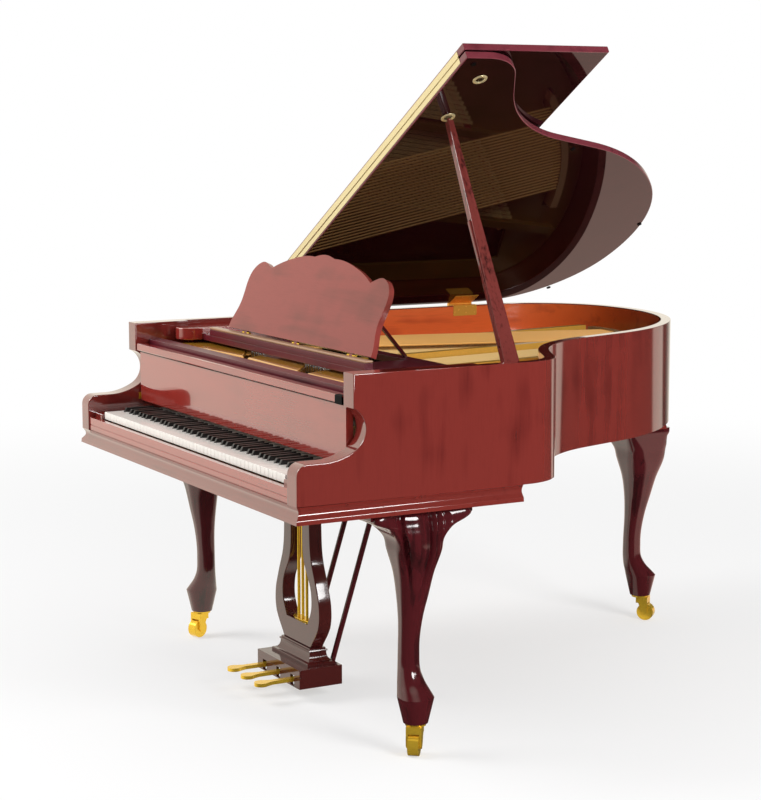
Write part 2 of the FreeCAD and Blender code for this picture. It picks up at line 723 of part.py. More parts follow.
def string_line(x, lean, level, radius, plan):
    """Straight string from the tuning pins to the end of the plan face."""
    along = heading_vector(90 - lean)
    start = Vector(x, STRING_START, level)
    line = Part.LineSegment(start, start + along * (2 * CASE_WIDTH)).toShape()
    runs = line.common(plan).Edges
    nearest = min(runs, key=lambda edge: edge.CenterOfMass.y)
    return rod(radius, start, start + along * nearest.Length)


def treble_strings():
    """Plain wire strings."""
    plan = before_treble(TREBLE_HITCH, TREBLE_STRING_Z).common(string_half(TREBLE_STRING_Z))
    return Part.makeCompound([string_line(x, TREBLE_LEAN, TREBLE_STRING_Z, TREBLE_STRING_RADIUS, plan)
                              for x in treble_places()])


def string_half(level):
    """Plan face behind the tuning pins' line."""
    return outline_solid(BASS_HITCH_INSET, STRING_START, level - CUT, level + CUT).common(
        Part.makePlane(2 * CASE_WIDTH, 2 * CASE_WIDTH, Vector(-CASE_WIDTH, 0, level)))


def bass_strings():
    """Copper-wound strings that cross over the treble strings."""
    plan = string_half(BASS_STRING_Z)
    return Part.makeCompound([string_line(x, BASS_LEAN, BASS_STRING_Z, BASS_STRING_RADIUS, plan)
                              for x in spread(BASS_FIRST, BASS_LAST, BASS_COUNT)])


def tuning_pins():
    """Tuning pins in staggered rows on the plate's front web."""
    solids = []
    for index, x in enumerate(spread(BASS_FIRST, BASS_LAST, BASS_COUNT) + treble_places()):
        y = PIN_BLOCK_FRONT + TUNING_ROWS[index % len(TUNING_ROWS)]
        solids.append(Part.makeCylinder(TUNING_PIN_RADIUS, TUNING_PIN_HEIGHT, Vector(x, y, PLATE_TOP)))
    return Part.makeCompound(solids)


def damper_x(place, lean):
    """X of a damper on the string that starts at place."""
    return place + math.tan(math.radians(lean)) * (DAMPER_Y - STRING_START)


def dampers():
    """Felt-lined damper heads on the bass strings and on the treble strings clear of them."""
    solids = []

    def head(place, level, radius, lean):
        block = box(-DAMPER_WIDTH / 2, DAMPER_WIDTH / 2, -DAMPER_LENGTH / 2, DAMPER_LENGTH / 2,
                    0, DAMPER_HEIGHT)
        block.rotate(Vector(0, 0, 0), UP, -lean)
        block.translate(Vector(damper_x(place, lean), DAMPER_Y, level + radius + DAMPER_SEAT))
        return block

    first = damper_x(BASS_LAST, BASS_LEAN) + 2 * DAMPER_WIDTH
    for place in treble_places()[:-UNDAMPED_COUNT]:
        if damper_x(place, TREBLE_LEAN) > first:
            solids.append(head(place, TREBLE_STRING_Z, TREBLE_STRING_RADIUS, TREBLE_LEAN))
    for place in spread(BASS_FIRST, BASS_LAST, BASS_COUNT):
        solids.append(head(place, BASS_STRING_Z, BASS_STRING_RADIUS, BASS_LEAN))
    return Part.makeCompound(solids)


def rod_places():
    """X of the three pedal rods."""
    return (-ROD_PITCH, 0.0, ROD_PITCH)


def white_left(index):
    """Left side of a white key's space."""
    return (index - WHITE_COUNT / 2) * WHITE_PITCH


def has_sharp(index):
    """True where a black key follows the white key; the lowest white key is an A."""
    return 0 <= index < WHITE_COUNT - 1 and (index + 5) % 7 in SHARP_SHIFT


def sharp_centre(index):
    """X of the black key after a white key."""
    return white_left(index + 1) + SHARP_SHIFT[(index + 5) % 7]


def white_key(index):
    """White key with a full-width head and a tail between its black neighbours."""
    left = white_left(index) + KEY_CLEARANCE / 2
    right = white_left(index + 1) - KEY_CLEARANCE / 2
    tail_left = left
    tail_right = right
    if has_sharp(index - 1):
        tail_left = sharp_centre(index - 1) + SHARP_WIDTH / 2 + KEY_CLEARANCE
    if has_sharp(index):
        tail_right = sharp_centre(index) - SHARP_WIDTH / 2 - KEY_CLEARANCE
    head_end = KEY_FRONT + HEAD_LENGTH
    head = box(left, right, KEY_FRONT, head_end, KEY_BOTTOM, KEY_TOP)
    tail = box(tail_left, tail_right, head_end - JOIN, KEY_BACK, KEY_BOTTOM, KEY_TOP)
    return fuse([head, tail])


def black_key(index):
    """Black key: raised sharp with a sloping front on a plain stick."""
    front = KEY_FRONT + HEAD_LENGTH + 2 * KEY_CLEARANCE
    top = KEY_TOP + SHARP_HEIGHT
    slope = SHARP_HEIGHT / 2
    back = front + SHARP_LENGTH
    points = [(front, KEY_BOTTOM), (front, KEY_TOP), (front + slope, top), (back, top),
              (back, KEY_TOP), (KEY_BACK, KEY_TOP), (KEY_BACK, KEY_BOTTOM)]
    centre = sharp_centre(index)
    return side_prism(points, centre - SHARP_WIDTH / 2, centre + SHARP_WIDTH / 2)


def white_keys():
    """All white keys but the single ones."""
    places = [i for i in range(WHITE_COUNT) if i not in SINGLE_KEY_INDEX.values()]
    return Part.makeCompound([white_key(i) for i in places])


def black_keys():
    """All black keys but the single ones."""
    places = [i for i in range(WHITE_COUNT) if has_sharp(i) and i not in SINGLE_KEY_INDEX.values()]
    return Part.makeCompound([black_key(i) for i in places])


def key_frame():
    """Sliding key frame with its rails and round balance bead, and the hammer rail on two brackets."""
    low = RIM_BOTTOM + SLIDE_GAP
    top = low + KEY_FRAME_THICKNESS
    keys_half = KEYS_HALF
    frame_half = KEY_FRAME_HALF_WIDTH
    wide_from = BALANCE_Y - KEY_FRAME_STEP
    dip = math.sin(math.radians(KEY_TRAVEL)) * (BALANCE_Y - KEY_FRONT)
    rail = KEY_RAIL_WIDTH
    rest = KEY_BOTTOM - SLIDE_GAP
    rail_front = KEY_FRAME_BACK - HAMMER_RAIL_SETBACK
    pieces = [box(-keys_half, keys_half, KEY_FRAME_FRONT, wide_from + JOIN, low, top),
              box(-frame_half, frame_half, wide_from, KEY_FRAME_BACK, low, top),
              box(-keys_half, keys_half, KEY_FRAME_FRONT, KEY_FRAME_FRONT + rail, top - JOIN, rest - dip),
              box(-keys_half, keys_half, BALANCE_Y - BALANCE_BEAD, BALANCE_Y + BALANCE_BEAD,
                  top - JOIN, BALANCE_Z),
              Part.makeCylinder(BALANCE_BEAD, 2 * keys_half, Vector(-keys_half, BALANCE_Y, BALANCE_Z), ACROSS),
              box(-keys_half, keys_half, KEY_FRAME_BACK - rail, KEY_FRAME_BACK, top - JOIN, rest),
              box(-frame_half, frame_half, rail_front - rail, rail_front,
                  HAMMER_RAIL_TOP - rail, HAMMER_RAIL_TOP)]
    for side in (-1, 1):
        outer = side * frame_half
        ends = sorted((outer, outer - side * rail))
        pieces.append(box(ends[0], ends[1], rail_front - rail, rail_front, top - JOIN, HAMMER_RAIL_TOP))
    return fuse(pieces)


def hammers():
    """Hammers on their shanks, held by the hammer rail."""
    start = KEY_FRAME_BACK - HAMMER_RAIL_SETBACK
    head_end = start + HAMMER_LENGTH
    head = head_end - HAMMER_HEAD
    shank_top = HAMMER_RAIL_TOP - SHANK_DROP
    shank_low = shank_top - SHANK_THICKNESS
    points = [(start, shank_low), (start, shank_top), (head, shank_top), (head, HAMMER_TOP),
              (head_end - HAMMER_TAPER, HAMMER_TOP), (head_end, shank_low)]
    reach = KEYS_HALF - WHITE_PITCH / 2
    return Part.makeCompound([side_prism(points, x - HAMMER_WIDTH / 2, x + HAMMER_WIDTH / 2)
                              for x in spread(-reach, reach, KEY_COUNT)])


def key_slip():
    """Board in front of the keys, with a shallow groove along it."""
    reach = HALF - ARM_THICKNESS - GLUE_GAP
    board = box(-reach, reach, KEY_SLIP_FRONT, KEY_SLIP_FRONT + KEY_SLIP_THICKNESS, RIM_BOTTOM, KEY_SLIP_TOP)
    groove = RIM_BOTTOM + (KEY_SLIP_TOP - RIM_BOTTOM) * GROOVE_SHARE
    return board.cut(box(-reach - CUT, reach + CUT, KEY_SLIP_FRONT - CUT, KEY_SLIP_FRONT + GROOVE_DEPTH,
                         groove, groove + GROOVE_WIDTH))


def key_blocks():
    """Blocks between the keyboard's ends and the arms."""
    front = KEY_SLIP_FRONT + KEY_SLIP_THICKNESS + SLIDE_GAP
    outer = HALF - ARM_THICKNESS - GLUE_GAP
    solids = []
    for side in (-1, 1):
        ends = sorted((side * KEY_BLOCK_INNER, side * outer))
        solids.append(box(ends[0], ends[1], front, FALLBOARD_Y - NOSING_DEPTH, RIM_BOTTOM, KEY_BLOCK_TOP))
    return Part.makeCompound(solids)


def fallboard():
    """Key cover standing open, with its nosing along the top."""
    back = FALLBOARD_Y + FALLBOARD_THICKNESS
    half = FALLBOARD_HALF_WIDTH
    nosing_low = FALLBOARD_TOP - NOSING_HEIGHT
    board = fuse([box(-half, half, FALLBOARD_Y, back, FALLBOARD_BOTTOM, nosing_low + JOIN),
                  box(-half, half, FALLBOARD_Y - NOSING_DEPTH, back, nosing_low, FALLBOARD_TOP)])
    return board.cut(fallboard_pins(half - FALLBOARD_PIN_DEPTH - BORE_ROOM, RUNNING_GAP))


def fallboard_pins(inner, gap):
    """Two pivot pins, thicker by gap, from inner out to the arms."""
    solids = []
    for side in (-1, 1):
        start = Vector(side * inner, FALLBOARD_PIVOT_Y, FALLBOARD_PIVOT_Z)
        end = Vector(side * (HALF - ARM_THICKNESS), FALLBOARD_PIVOT_Y, FALLBOARD_PIVOT_Z)
        solids.append(rod(FALLBOARD_PIN_RADIUS + gap, start, end))
    return Part.makeCompound(solids)


def fallboard_pivots():
    """Brass pivot plates on the arms with their pins."""
    solids = []
    half = PIVOT_PLATE_HALF
    arm = HALF - ARM_THICKNESS
    pins = fallboard_pins(FALLBOARD_HALF_WIDTH - FALLBOARD_PIN_DEPTH, 0).Solids
    for side, pin in zip((-1, 1), pins):
        ends = sorted((side * arm, side * (arm - PIVOT_PLATE)))
        leaf = box(ends[0], ends[1], FALLBOARD_PIVOT_Y - half, FALLBOARD_PIVOT_Y + half,
                   FALLBOARD_PIVOT_Z - half, FALLBOARD_PIVOT_Z + half)
        solids.append(fuse([leaf, pin]))
    return Part.makeCompound(solids)


LID_LOW = RIM_TOP + LID_GAP
LID_HIGH = LID_LOW + LID_THICKNESS
LID_AXIS = Vector(-HALF - HINGE_KNUCKLE_RADIUS - HINGE_OFFSET, 0, RIM_TOP + LID_GAP / 2)
FLAP_AXIS = Vector(0, LID_FRONT - FLAP_GAP / 2, LID_HIGH + PIANO_HINGE_KNUCKLE + PIANO_HINGE_LIFT)


def opened(shape):
    """Shape of the closed lid, swung up to the photographed angle."""
    shape.rotate(LID_AXIS, BACK, -LID_ANGLE)
    return shape


def folded(shape):
    """Shape of the unfolded flap, folded back on top of the lid."""
    shape.rotate(FLAP_AXIS, ACROSS, -180)
    return opened(shape)


def opened_point(point):
    """Where a point of the closed lid lies when the lid is open."""
    turn = FreeCAD.Rotation(BACK, -LID_ANGLE)
    return LID_AXIS + turn.multVec(point - LID_AXIS)


def lid_main():
    """Main lid over the strings."""
    return opened(outline_solid(-LID_OVERHANG, LID_FRONT, LID_LOW, LID_HIGH, 0))


def lid_flap():
    """Front flap, folded back on the main lid."""
    back = LID_FRONT - FLAP_GAP
    return folded(box(-HALF, HALF + LID_OVERHANG, back - FLAP_DEPTH, back, LID_LOW, LID_HIGH))


def piano_hinge(side, odd):
    """Long hinge leaf on an edge face: the lid's for side 1, the flap's for side -1."""
    edge = FLAP_AXIS.y + side * FLAP_GAP / 2
    inner = edge - side * PIANO_HINGE_LEAF
    low, high = sorted((edge, inner))
    start = -HALF + PIANO_HINGE_SEGMENT
    end = HALF - PIANO_HINGE_SEGMENT / 2
    count = int((end - start) / PIANO_HINGE_SEGMENT)
    length = count * PIANO_HINGE_SEGMENT
    leaf = box(start, start + length, low, high, LID_HIGH - PIANO_HINGE_SHARE * LID_THICKNESS, LID_HIGH)
    pieces = [leaf]
    for index in range(odd, count, 2):
        x0 = start + index * PIANO_HINGE_SEGMENT + KNUCKLE_GAP
        x1 = x0 + PIANO_HINGE_SEGMENT - 2 * KNUCKLE_GAP
        pieces.append(box(x0, x1, low, high, LID_HIGH - JOIN, FLAP_AXIS.z))
        pieces.append(rod(PIANO_HINGE_KNUCKLE, Vector(x0, FLAP_AXIS.y, FLAP_AXIS.z),
                          Vector(x1, FLAP_AXIS.y, FLAP_AXIS.z)))
    ends = [Vector(start, FLAP_AXIS.y, FLAP_AXIS.z), Vector(start + length, FLAP_AXIS.y, FLAP_AXIS.z)]
    if odd:
        return fuse(pieces).cut(rod(PIANO_HINGE_PIN + RUNNING_GAP, ends[0], ends[1]))
    return fuse(pieces + [rod(PIANO_HINGE_PIN, ends[0], ends[1])])


def lid_hinge(place, on_lid):
    """One butt hinge on the spine: rim half with its pin, or lid half."""
    radius = HINGE_KNUCKLE_RADIUS
    third = HINGE_LENGTH / 3
    axis = Vector(LID_AXIS.x, place, LID_AXIS.z)

    def knuckle(start, length, size):
        return Part.makeCylinder(size, length, axis + BACK * start, BACK)

    if on_lid:
        low = LID_LOW - HINGE_LEAF
        strap = box(-HALF, -HALF + HINGE_STRAP_DEPTH, place, place + HINGE_LENGTH, low, LID_LOW)
        tab = box(axis.x, -HALF + JOIN, place + third + KNUCKLE_GAP, place + 2 * third - KNUCKLE_GAP,
                  low, LID_LOW)
        body = fuse([strap, tab, knuckle(third + KNUCKLE_GAP, third - 2 * KNUCKLE_GAP, radius)])
        return opened(body.cut(knuckle(-CUT, HINGE_LENGTH + 2 * CUT, HINGE_PIN_RADIUS + RUNNING_GAP)))
    inner = -HALF + RIM_THICKNESS
    strap = box(-HALF, inner + HINGE_LEAF, place, place + HINGE_LENGTH, RIM_TOP, RIM_TOP + HINGE_LEAF)
    leaf = box(inner, inner + HINGE_LEAF, place, place + HINGE_LENGTH, RIM_TOP - HINGE_LEAF_DEPTH,
               RIM_TOP + HINGE_LEAF / 2)
    pieces = [strap, leaf, knuckle(0, HINGE_LENGTH, HINGE_PIN_RADIUS)]
    for start in (0.0, 2 * third):
        pieces.append(knuckle(start, third, radius))
        pieces.append(box(axis.x, -HALF + JOIN, place + start, place + start + third,
                          RIM_TOP, RIM_TOP + HINGE_LEAF))
    return fuse(pieces)


def lid_hinges(on_lid):
    """All lid hinges' halves of one side."""
    places = [spine_end() * share for share in LID_HINGE_SHARES]
    return Part.makeCompound([lid_hinge(place, on_lid) for place in places])


def lid_buttons():
    """Rubber buttons under the lid, over the middle of the rim."""
    edges = outline_edges(RIM_THICKNESS / 2, LID_FRONT, RIM_THICKNESS / 2, LID_LOW)
    solids = []
    for index in BUTTON_EDGES:
        edge = edges[index]
        middle = edge.valueAt((edge.FirstParameter + edge.LastParameter) / 2)
        solids.append(opened(Part.makeCylinder(BUTTON_RADIUS, LID_GAP - SLIDE_GAP, middle, UP * -1)))
    return Part.makeCompound(solids)


def prop_cups():
    """Brass plates under the lid for the long and the short prop."""
    solids = []
    for across in (CUP_ACROSS, SHORT_CUP_ACROSS):
        top = Vector(across - HALF, CUP_ALONG, LID_LOW)
        solids.append(opened(Part.makeCylinder(CUP_RADIUS, CUP_THICKNESS, top, UP * -1)))
    return Part.makeCompound(solids)


PROP_FOOT = Vector(PROP_FOOT_X, SIDE_LENGTH - PROP_FOOT_SETBACK, PROP_FOOT_Z)
PROP_CUP = opened_point(Vector(CUP_ACROSS - HALF, CUP_ALONG, LID_LOW - CUP_THICKNESS))
PROP_ALONG = (PROP_CUP - PROP_FOOT).normalize()
PROP_AXIS = BACK.cross(PROP_ALONG).normalize()
PROP_REACH = (PROP_CUP - PROP_FOOT).Length - PROP_TIP_GAP
PROP_PLACE = FreeCAD.Placement(PROP_FOOT, FreeCAD.Rotation(PROP_AXIS, PROP_ALONG.cross(PROP_AXIS),
                                                           PROP_ALONG, "ZXY"))
SHORT_PIVOT = Vector(0, -SHORT_PIVOT_OFFSET, PROP_SLOT_START)


def on_prop(shape):
    """Shape drawn on the upright prop (pivot at 0, tip up), moved to the leaning prop."""
    shape.transformShape(PROP_PLACE.toMatrix())
    return shape


def prop_long():
    """Long prop, wide at its foot, with a slot for the short prop."""
    half = PROP_THICKNESS / 2
    foot = PROP_WIDTH_FOOT / 2
    tip = PROP_WIDTH_TIP / 2
    ball = PROP_BALL_RADIUS
    top = PROP_REACH - PROP_NECK_LENGTH
    body = side_prism([(-foot, 0), (foot, 0), (tip, top), (-tip, top)], -half, half)
    disc = Part.makeCylinder(foot, PROP_THICKNESS, Vector(-half, 0, 0), ACROSS)
    neck = Part.makeCylinder(ball, 2 * ball, Vector(0, 0, top - ball), UP)
    cap = Part.makeSphere(ball, Vector(0, 0, PROP_REACH - ball))
    neck = neck.common(box(-ball, ball, -ball, ball, 0, PROP_REACH - ball))
    bore = Part.makeCylinder(PROP_PIN_RADIUS + RUNNING_GAP, PROP_THICKNESS + 2 * CUT,
                             Vector(-half - CUT, 0, 0), ACROSS)
    slot_half = PROP_SHORT_THICKNESS / 2 + SLIDE_GAP
    round_end = PROP_SHORT_WIDTH / 2
    slot = box(-slot_half, slot_half, -PROP_WIDTH_FOOT, SHORT_PIVOT.y + round_end + KNUCKLE_GAP,
               PROP_SLOT_START - round_end - SLOT_ROOM, PROP_SLOT_START + PROP_SHORT_LENGTH + 2 * SLOT_ROOM)
    pin_end = half - SHORT_PIN_INSET
    pin = rod(SHORT_PIN_RADIUS, Vector(-pin_end, SHORT_PIVOT.y, SHORT_PIVOT.z),
              Vector(pin_end, SHORT_PIVOT.y, SHORT_PIVOT.z))
    return on_prop(fuse([fuse([body, disc, neck, cap]).cut(bore).cut(slot), pin]))


def prop_short():
    """Short prop, nested in the long prop's slot and hinged at its lower end."""
    half = PROP_SHORT_THICKNESS / 2
    round_end = PROP_SHORT_WIDTH / 2 - KNUCKLE_GAP / 2
    end = Part.makeCylinder(round_end, 2 * half, Vector(-half, SHORT_PIVOT.y, SHORT_PIVOT.z), ACROSS)
    bar = box(-half, half, SHORT_PIVOT.y - round_end, SHORT_PIVOT.y + round_end,
              SHORT_PIVOT.z, SHORT_PIVOT.z + PROP_SHORT_LENGTH)
    bore = Part.makeCylinder(SHORT_PIN_RADIUS + RUNNING_GAP, 2 * (half + CUT),
                             Vector(-half - CUT, SHORT_PIVOT.y, SHORT_PIVOT.z), ACROSS)
    return on_prop(fuse([end, bar]).cut(bore))


def prop_bracket():
    """Forked bracket on the inside of the rim with the prop's pivot pin."""
    half = PROP_THICKNESS / 2 + BRACKET_GAP
    outer = half + BRACKET_EAR
    foot = PROP_WIDTH_FOOT / 2
    depth = foot * BRACKET_DEPTH_SHARE
    top = foot * BRACKET_EAR_SHARE
    floor = -foot - BRACKET_DROP
    low = floor - BRACKET_FLOOR
    pieces = [box(half, outer, -depth, depth, low, top), box(-outer, -half, -depth, depth, low, top),
              box(-outer, outer, -depth, depth, low, floor),
              Part.makeCylinder(PROP_PIN_RADIUS, 2 * outer, Vector(-outer, 0, 0), ACROSS)]
    fork = on_prop(fuse(pieces))
    base = PROP_FOOT + PROP_ALONG * (floor - BRACKET_FLOOR / 2)
    block = box(base.x - BRACKET_BLOCK_REACH, HALF - RIM_THICKNESS,
                base.y - depth, min(base.y + depth, SIDE_LENGTH),
                base.z - BRACKET_BLOCK_HEIGHT, base.z + JOIN)
    return fuse([fork, block])


DESK_AXIS = Vector(0, DESK_HINGE_Y, DESK_HINGE_Z)


def leaning(shape):
    """Shape drawn on an upright desk at the hinge line, leaned back to its angle."""
    shape.translate(DESK_AXIS)
    shape.rotate(DESK_AXIS, ACROSS, -DESK_TILT)
    return shape


def smooth(points):
    """Smooth curve through points."""
    curve = Part.BSplineCurve()
    curve.interpolate(points)
    return curve.toShape()


def desk_curves(side, level):
    """Side, ear and arch of the desk's outline, on one side, as three curves."""
    wide = side * DESK_HALF_WIDTH
    tall = DESK_HEIGHT
    runs = (DESK_FLANK, DESK_ARCH, DESK_CREST)
    return [smooth([Vector(x * wide, level, h * tall) for x, h in run]) for run in runs]


def desk_panel():
    """Music desk with its shaped top, hinge lugs below and strut lugs behind."""
    level = -DESK_THICKNESS / 2
    edges = desk_curves(1, level) + desk_curves(-1, level)
    half = DESK_HALF_WIDTH
    low = DESK_FLANK[0][1] * DESK_HEIGHT
    edges.append(Part.LineSegment(Vector(-half, level, low), Vector(half, level, low)).toShape())
    wire = Part.Wire(Part.__sortEdges__(edges))
    pieces = [Part.Face(wire).extrude(Vector(0, DESK_THICKNESS, 0))]
    radius = 2 * DESK_PIN_RADIUS
    for share in DESK_HINGE_SHARES:
        x = share * half - DESK_LUG / 2
        pieces.append(Part.makeCylinder(radius, DESK_LUG, Vector(x, 0, 0), ACROSS))
        pieces.append(box(x, x + DESK_LUG, -radius, radius, 0, low + JOIN))
    inner = STRUT_WIDTH / 2 + STRUT_LUG_GAP
    for centre in (-STRUT_X, STRUT_X):
        for x in (centre + inner, centre - inner - STRUT_LUG):
            pieces.append(box(x, x + STRUT_LUG, DESK_THICKNESS / 2 - JOIN, STRUT_OFFSET + 2 * STRUT_PIN_RADIUS,
                              STRUT_HEIGHT - STRUT_LUG_HALF, STRUT_HEIGHT + STRUT_LUG_HALF))
        reach = inner + STRUT_LUG / 2
        pieces.append(rod(STRUT_PIN_RADIUS, Vector(centre - reach, STRUT_OFFSET, STRUT_HEIGHT),
                          Vector(centre + reach, STRUT_OFFSET, STRUT_HEIGHT)))
    bore = rod(DESK_PIN_RADIUS + RUNNING_GAP, Vector(-half, 0, 0), Vector(half, 0, 0))
    return leaning(fuse(pieces).cut(bore))


def strut_pivot():
    """Strut pivot in the leaning desk, in the middle of the piano."""
    turn = FreeCAD.Rotation(ACROSS, -DESK_TILT)
    return DESK_AXIS + turn.multVec(Vector(0, STRUT_OFFSET, STRUT_HEIGHT))


def strut_foot():
    """Centre of the strut's round foot, standing on the tray."""
    pivot = strut_pivot()
    level = TRAY_TOP + SLIDE_GAP + STRUT_THICKNESS / 2
    return Vector(0, pivot.y + math.sqrt(STRUT_LENGTH ** 2 - (pivot.z - level) ** 2), level)


def strut_slope():
    """Angle of the strut below the level, in degrees."""
    return math.degrees(math.asin((strut_pivot().z - strut_foot().z) / STRUT_LENGTH))


def desk_struts():
    """Two struts that prop the desk from behind."""
    pivot = strut_pivot()
    foot = strut_foot()
    radius = STRUT_THICKNESS / 2
    along = (foot - pivot).normalize()
    square = along.cross(ACROSS)
    side_step = square * radius
    corners = [pivot + side_step, foot + side_step, foot - side_step, pivot - side_step]
    solids = []
    for side in (-1, 1):
        x = side * STRUT_X - STRUT_WIDTH / 2
        bar = side_prism([(p.y, p.z) for p in corners], x, x + STRUT_WIDTH)
        ends = [Part.makeCylinder(radius, STRUT_WIDTH, Vector(x, p.y, p.z), ACROSS) for p in (pivot, foot)]
        bore = Part.makeCylinder(STRUT_PIN_RADIUS + RUNNING_GAP, STRUT_WIDTH + 2 * CUT,
                                 Vector(x - CUT, pivot.y, pivot.z), ACROSS)
        solids.append(fuse([bar] + ends).cut(bore))
    return Part.makeCompound(solids)


def desk_hinge_starts():
    """Left ends of the hinge knuckles beside the desk's lugs."""
    knuckle = desk_knuckle()
    places = [share * DESK_HALF_WIDTH for share in DESK_HINGE_SHARES]
    return [(x - DESK_HINGE_LENGTH / 2, x + DESK_HINGE_LENGTH / 2 - knuckle) for x in places]


def desk_knuckle():
    """Length of one fixed hinge knuckle."""
    return (DESK_HINGE_LENGTH - DESK_LUG) / 2 - DESK_LUG_GAP


def desk_leaf(start):
    """Flat hinge leaf let into the ledge's top."""
    return box(start, start + desk_knuckle(), LEDGE_BACK - DESK_LEAF_DEPTH, LEDGE_BACK,
               LEDGE_TOP - DESK_LEAF_THICKNESS, LEDGE_TOP)


def desk_hinges():
    """Brass hinges between the tray's ledge and the desk."""
    solids = []
    radius = 2 * DESK_PIN_RADIUS
    length = desk_knuckle()
    for starts in desk_hinge_starts():
        left = Vector(starts[0], DESK_HINGE_Y, DESK_HINGE_Z)
        pieces = [Part.makeCylinder(DESK_PIN_RADIUS, DESK_HINGE_LENGTH, left, ACROSS)]
        for start in starts:
            pieces.append(Part.makeCylinder(radius, length, Vector(start, DESK_HINGE_Y, DESK_HINGE_Z), ACROSS))
            pieces.append(desk_leaf(start))
            pieces.append(box(start, start + length, LEDGE_BACK, DESK_HINGE_Y + radius,
                              LEDGE_TOP - DESK_LEAF_THICKNESS, DESK_HINGE_Z))
        solids.append(fuse(pieces))
    return Part.makeCompound(solids)


def tray_shelf(side):
    """Thick shelf at one end of the tray, with a round outer front corner."""
    low = TRAY_TOP - TRAY_THICKNESS
    bend = SHELF_CORNER * (1 - math.sqrt(0.5))

    def at(inset, y):
        return Vector(side * (TRAY_HALF_WIDTH - inset), y, low)

    corners = [at(SHELF_CORNER, SHELF_FRONT), at(SHELF_WIDTH, SHELF_FRONT), at(SHELF_WIDTH, TRAY_BACK),
               at(0, TRAY_BACK), at(0, SHELF_FRONT + SHELF_CORNER)]
    edges = [Part.LineSegment(p, q).toShape() for p, q in zip(corners, corners[1:])]
    edges.append(Part.Arc(corners[-1], at(bend, SHELF_FRONT + bend), corners[0]).toShape())
    return Part.Face(Part.Wire(edges)).extrude(Vector(0, 0, LEDGE_TOP - low))


def desk_tray():
    """Sliding tray: two thick side shelves, ledge rail and rear bar."""
    low = TRAY_TOP - TRAY_THICKNESS
    inner = TRAY_HALF_WIDTH - SHELF_WIDTH
    board = box(-inner - JOIN, inner + JOIN, TRAY_FRONT, TRAY_BACK, low, TRAY_TOP)
    opening = box(-TRAY_OPENING_HALF, TRAY_OPENING_HALF, LEDGE_BACK + TRAY_RAIL_DEPTH, TRAY_BACK - TRAY_BAR,
                  low - CUT, TRAY_TOP + CUT)
    ledge = box(-DESK_HALF_WIDTH, DESK_HALF_WIDTH, TRAY_FRONT, LEDGE_BACK, TRAY_TOP - JOIN, LEDGE_TOP)
    tray = fuse([board.cut(opening), ledge, tray_shelf(-1), tray_shelf(1)])
    for starts in desk_hinge_starts():
        for start in starts:
            tray = tray.cut(desk_leaf(start))
    return tray


def desk_runners():
    """Cleats on the rim and a rail behind the fallboard that the tray slides on."""
    top = TRAY_TOP - TRAY_THICKNESS - SLIDE_GAP
    solids = []
    for side in (-1, 1):
        ends = sorted((side * (HALF - RIM_THICKNESS), side * (TRAY_HALF_WIDTH - TRAY_RAIL_DEPTH)))
        solids.append(box(ends[0], ends[1], ARM_LENGTH + GLUE_GAP, TRAY_BACK, top - RUNNER_HEIGHT, top))
    reach = HALF - ARM_THICKNESS - GLUE_GAP
    rail_back = FRONT_RAIL_Y + FRONT_RAIL_DEPTH
    solids.append(box(-reach, reach, FRONT_RAIL_Y, rail_back, top - FRONT_RAIL_HEIGHT, top))
    return Part.makeCompound(solids)


LEG_TOP = MOULDING_BOTTOM - LEG_PLATE_THICKNESS
LEG_HEIGHT = LEG_TOP - LEG_FOOT


def leg_stations(wing):
    """Cabriole leg as (height share from foot to top, reach, half depth, half width, corner share)."""
    return [(1.0, KNEE_REACH * 0.2, LEG_PLATE_HALF * 0.95, LEG_PLATE_HALF * 0.95 + wing, 0.16),
            (0.983, KNEE_REACH * 0.3, LEG_PLATE_HALF * 0.92, LEG_PLATE_HALF * 0.92 + wing * 0.86, 0.2),
            (0.957, KNEE_REACH * 0.5, LEG_PLATE_HALF * 0.89, LEG_PLATE_HALF * 0.89 + wing * 0.4, 0.27),
            (0.926, KNEE_REACH * 0.75, LEG_PLATE_HALF * 0.86, LEG_PLATE_HALF * 0.86 + wing * 0.13, 0.35),
            (0.90, KNEE_REACH * 0.9, LEG_PLATE_HALF * 0.83, LEG_PLATE_HALF * 0.83 + wing * 0.03, 0.42),
            (0.84, KNEE_REACH, KNEE_HALF, KNEE_HALF, 0.55),
            (0.72, KNEE_REACH * 0.88, KNEE_HALF * 0.73, KNEE_HALF * 0.73, 0.7),
            (0.62, KNEE_REACH * 0.68, KNEE_HALF * 0.6, KNEE_HALF * 0.6, 0.8),
            (0.50, KNEE_REACH * 0.3, ANKLE_HALF * 1.15, ANKLE_HALF * 1.15, 0.9),
            (0.33, ANKLE_REACH, ANKLE_HALF, ANKLE_HALF, 0.92),
            (0.23, ANKLE_REACH * 0.4, ANKLE_HALF * 1.04, ANKLE_HALF * 1.04, 0.92),
            (0.175, FOOT_REACH * 0.45, FOOT_HALF * 0.8, FOOT_HALF * 0.8, 0.92),
            (0.13, FOOT_REACH * 0.9, FOOT_HALF, FOOT_HALF, 0.92),
            (0.095, FOOT_REACH, FOOT_HALF * 0.98, FOOT_HALF * 0.98, 0.92),
            (0.0, FOOT_REACH, FOOT_HALF * 0.68, FOOT_HALF * 0.68, 0.92)]


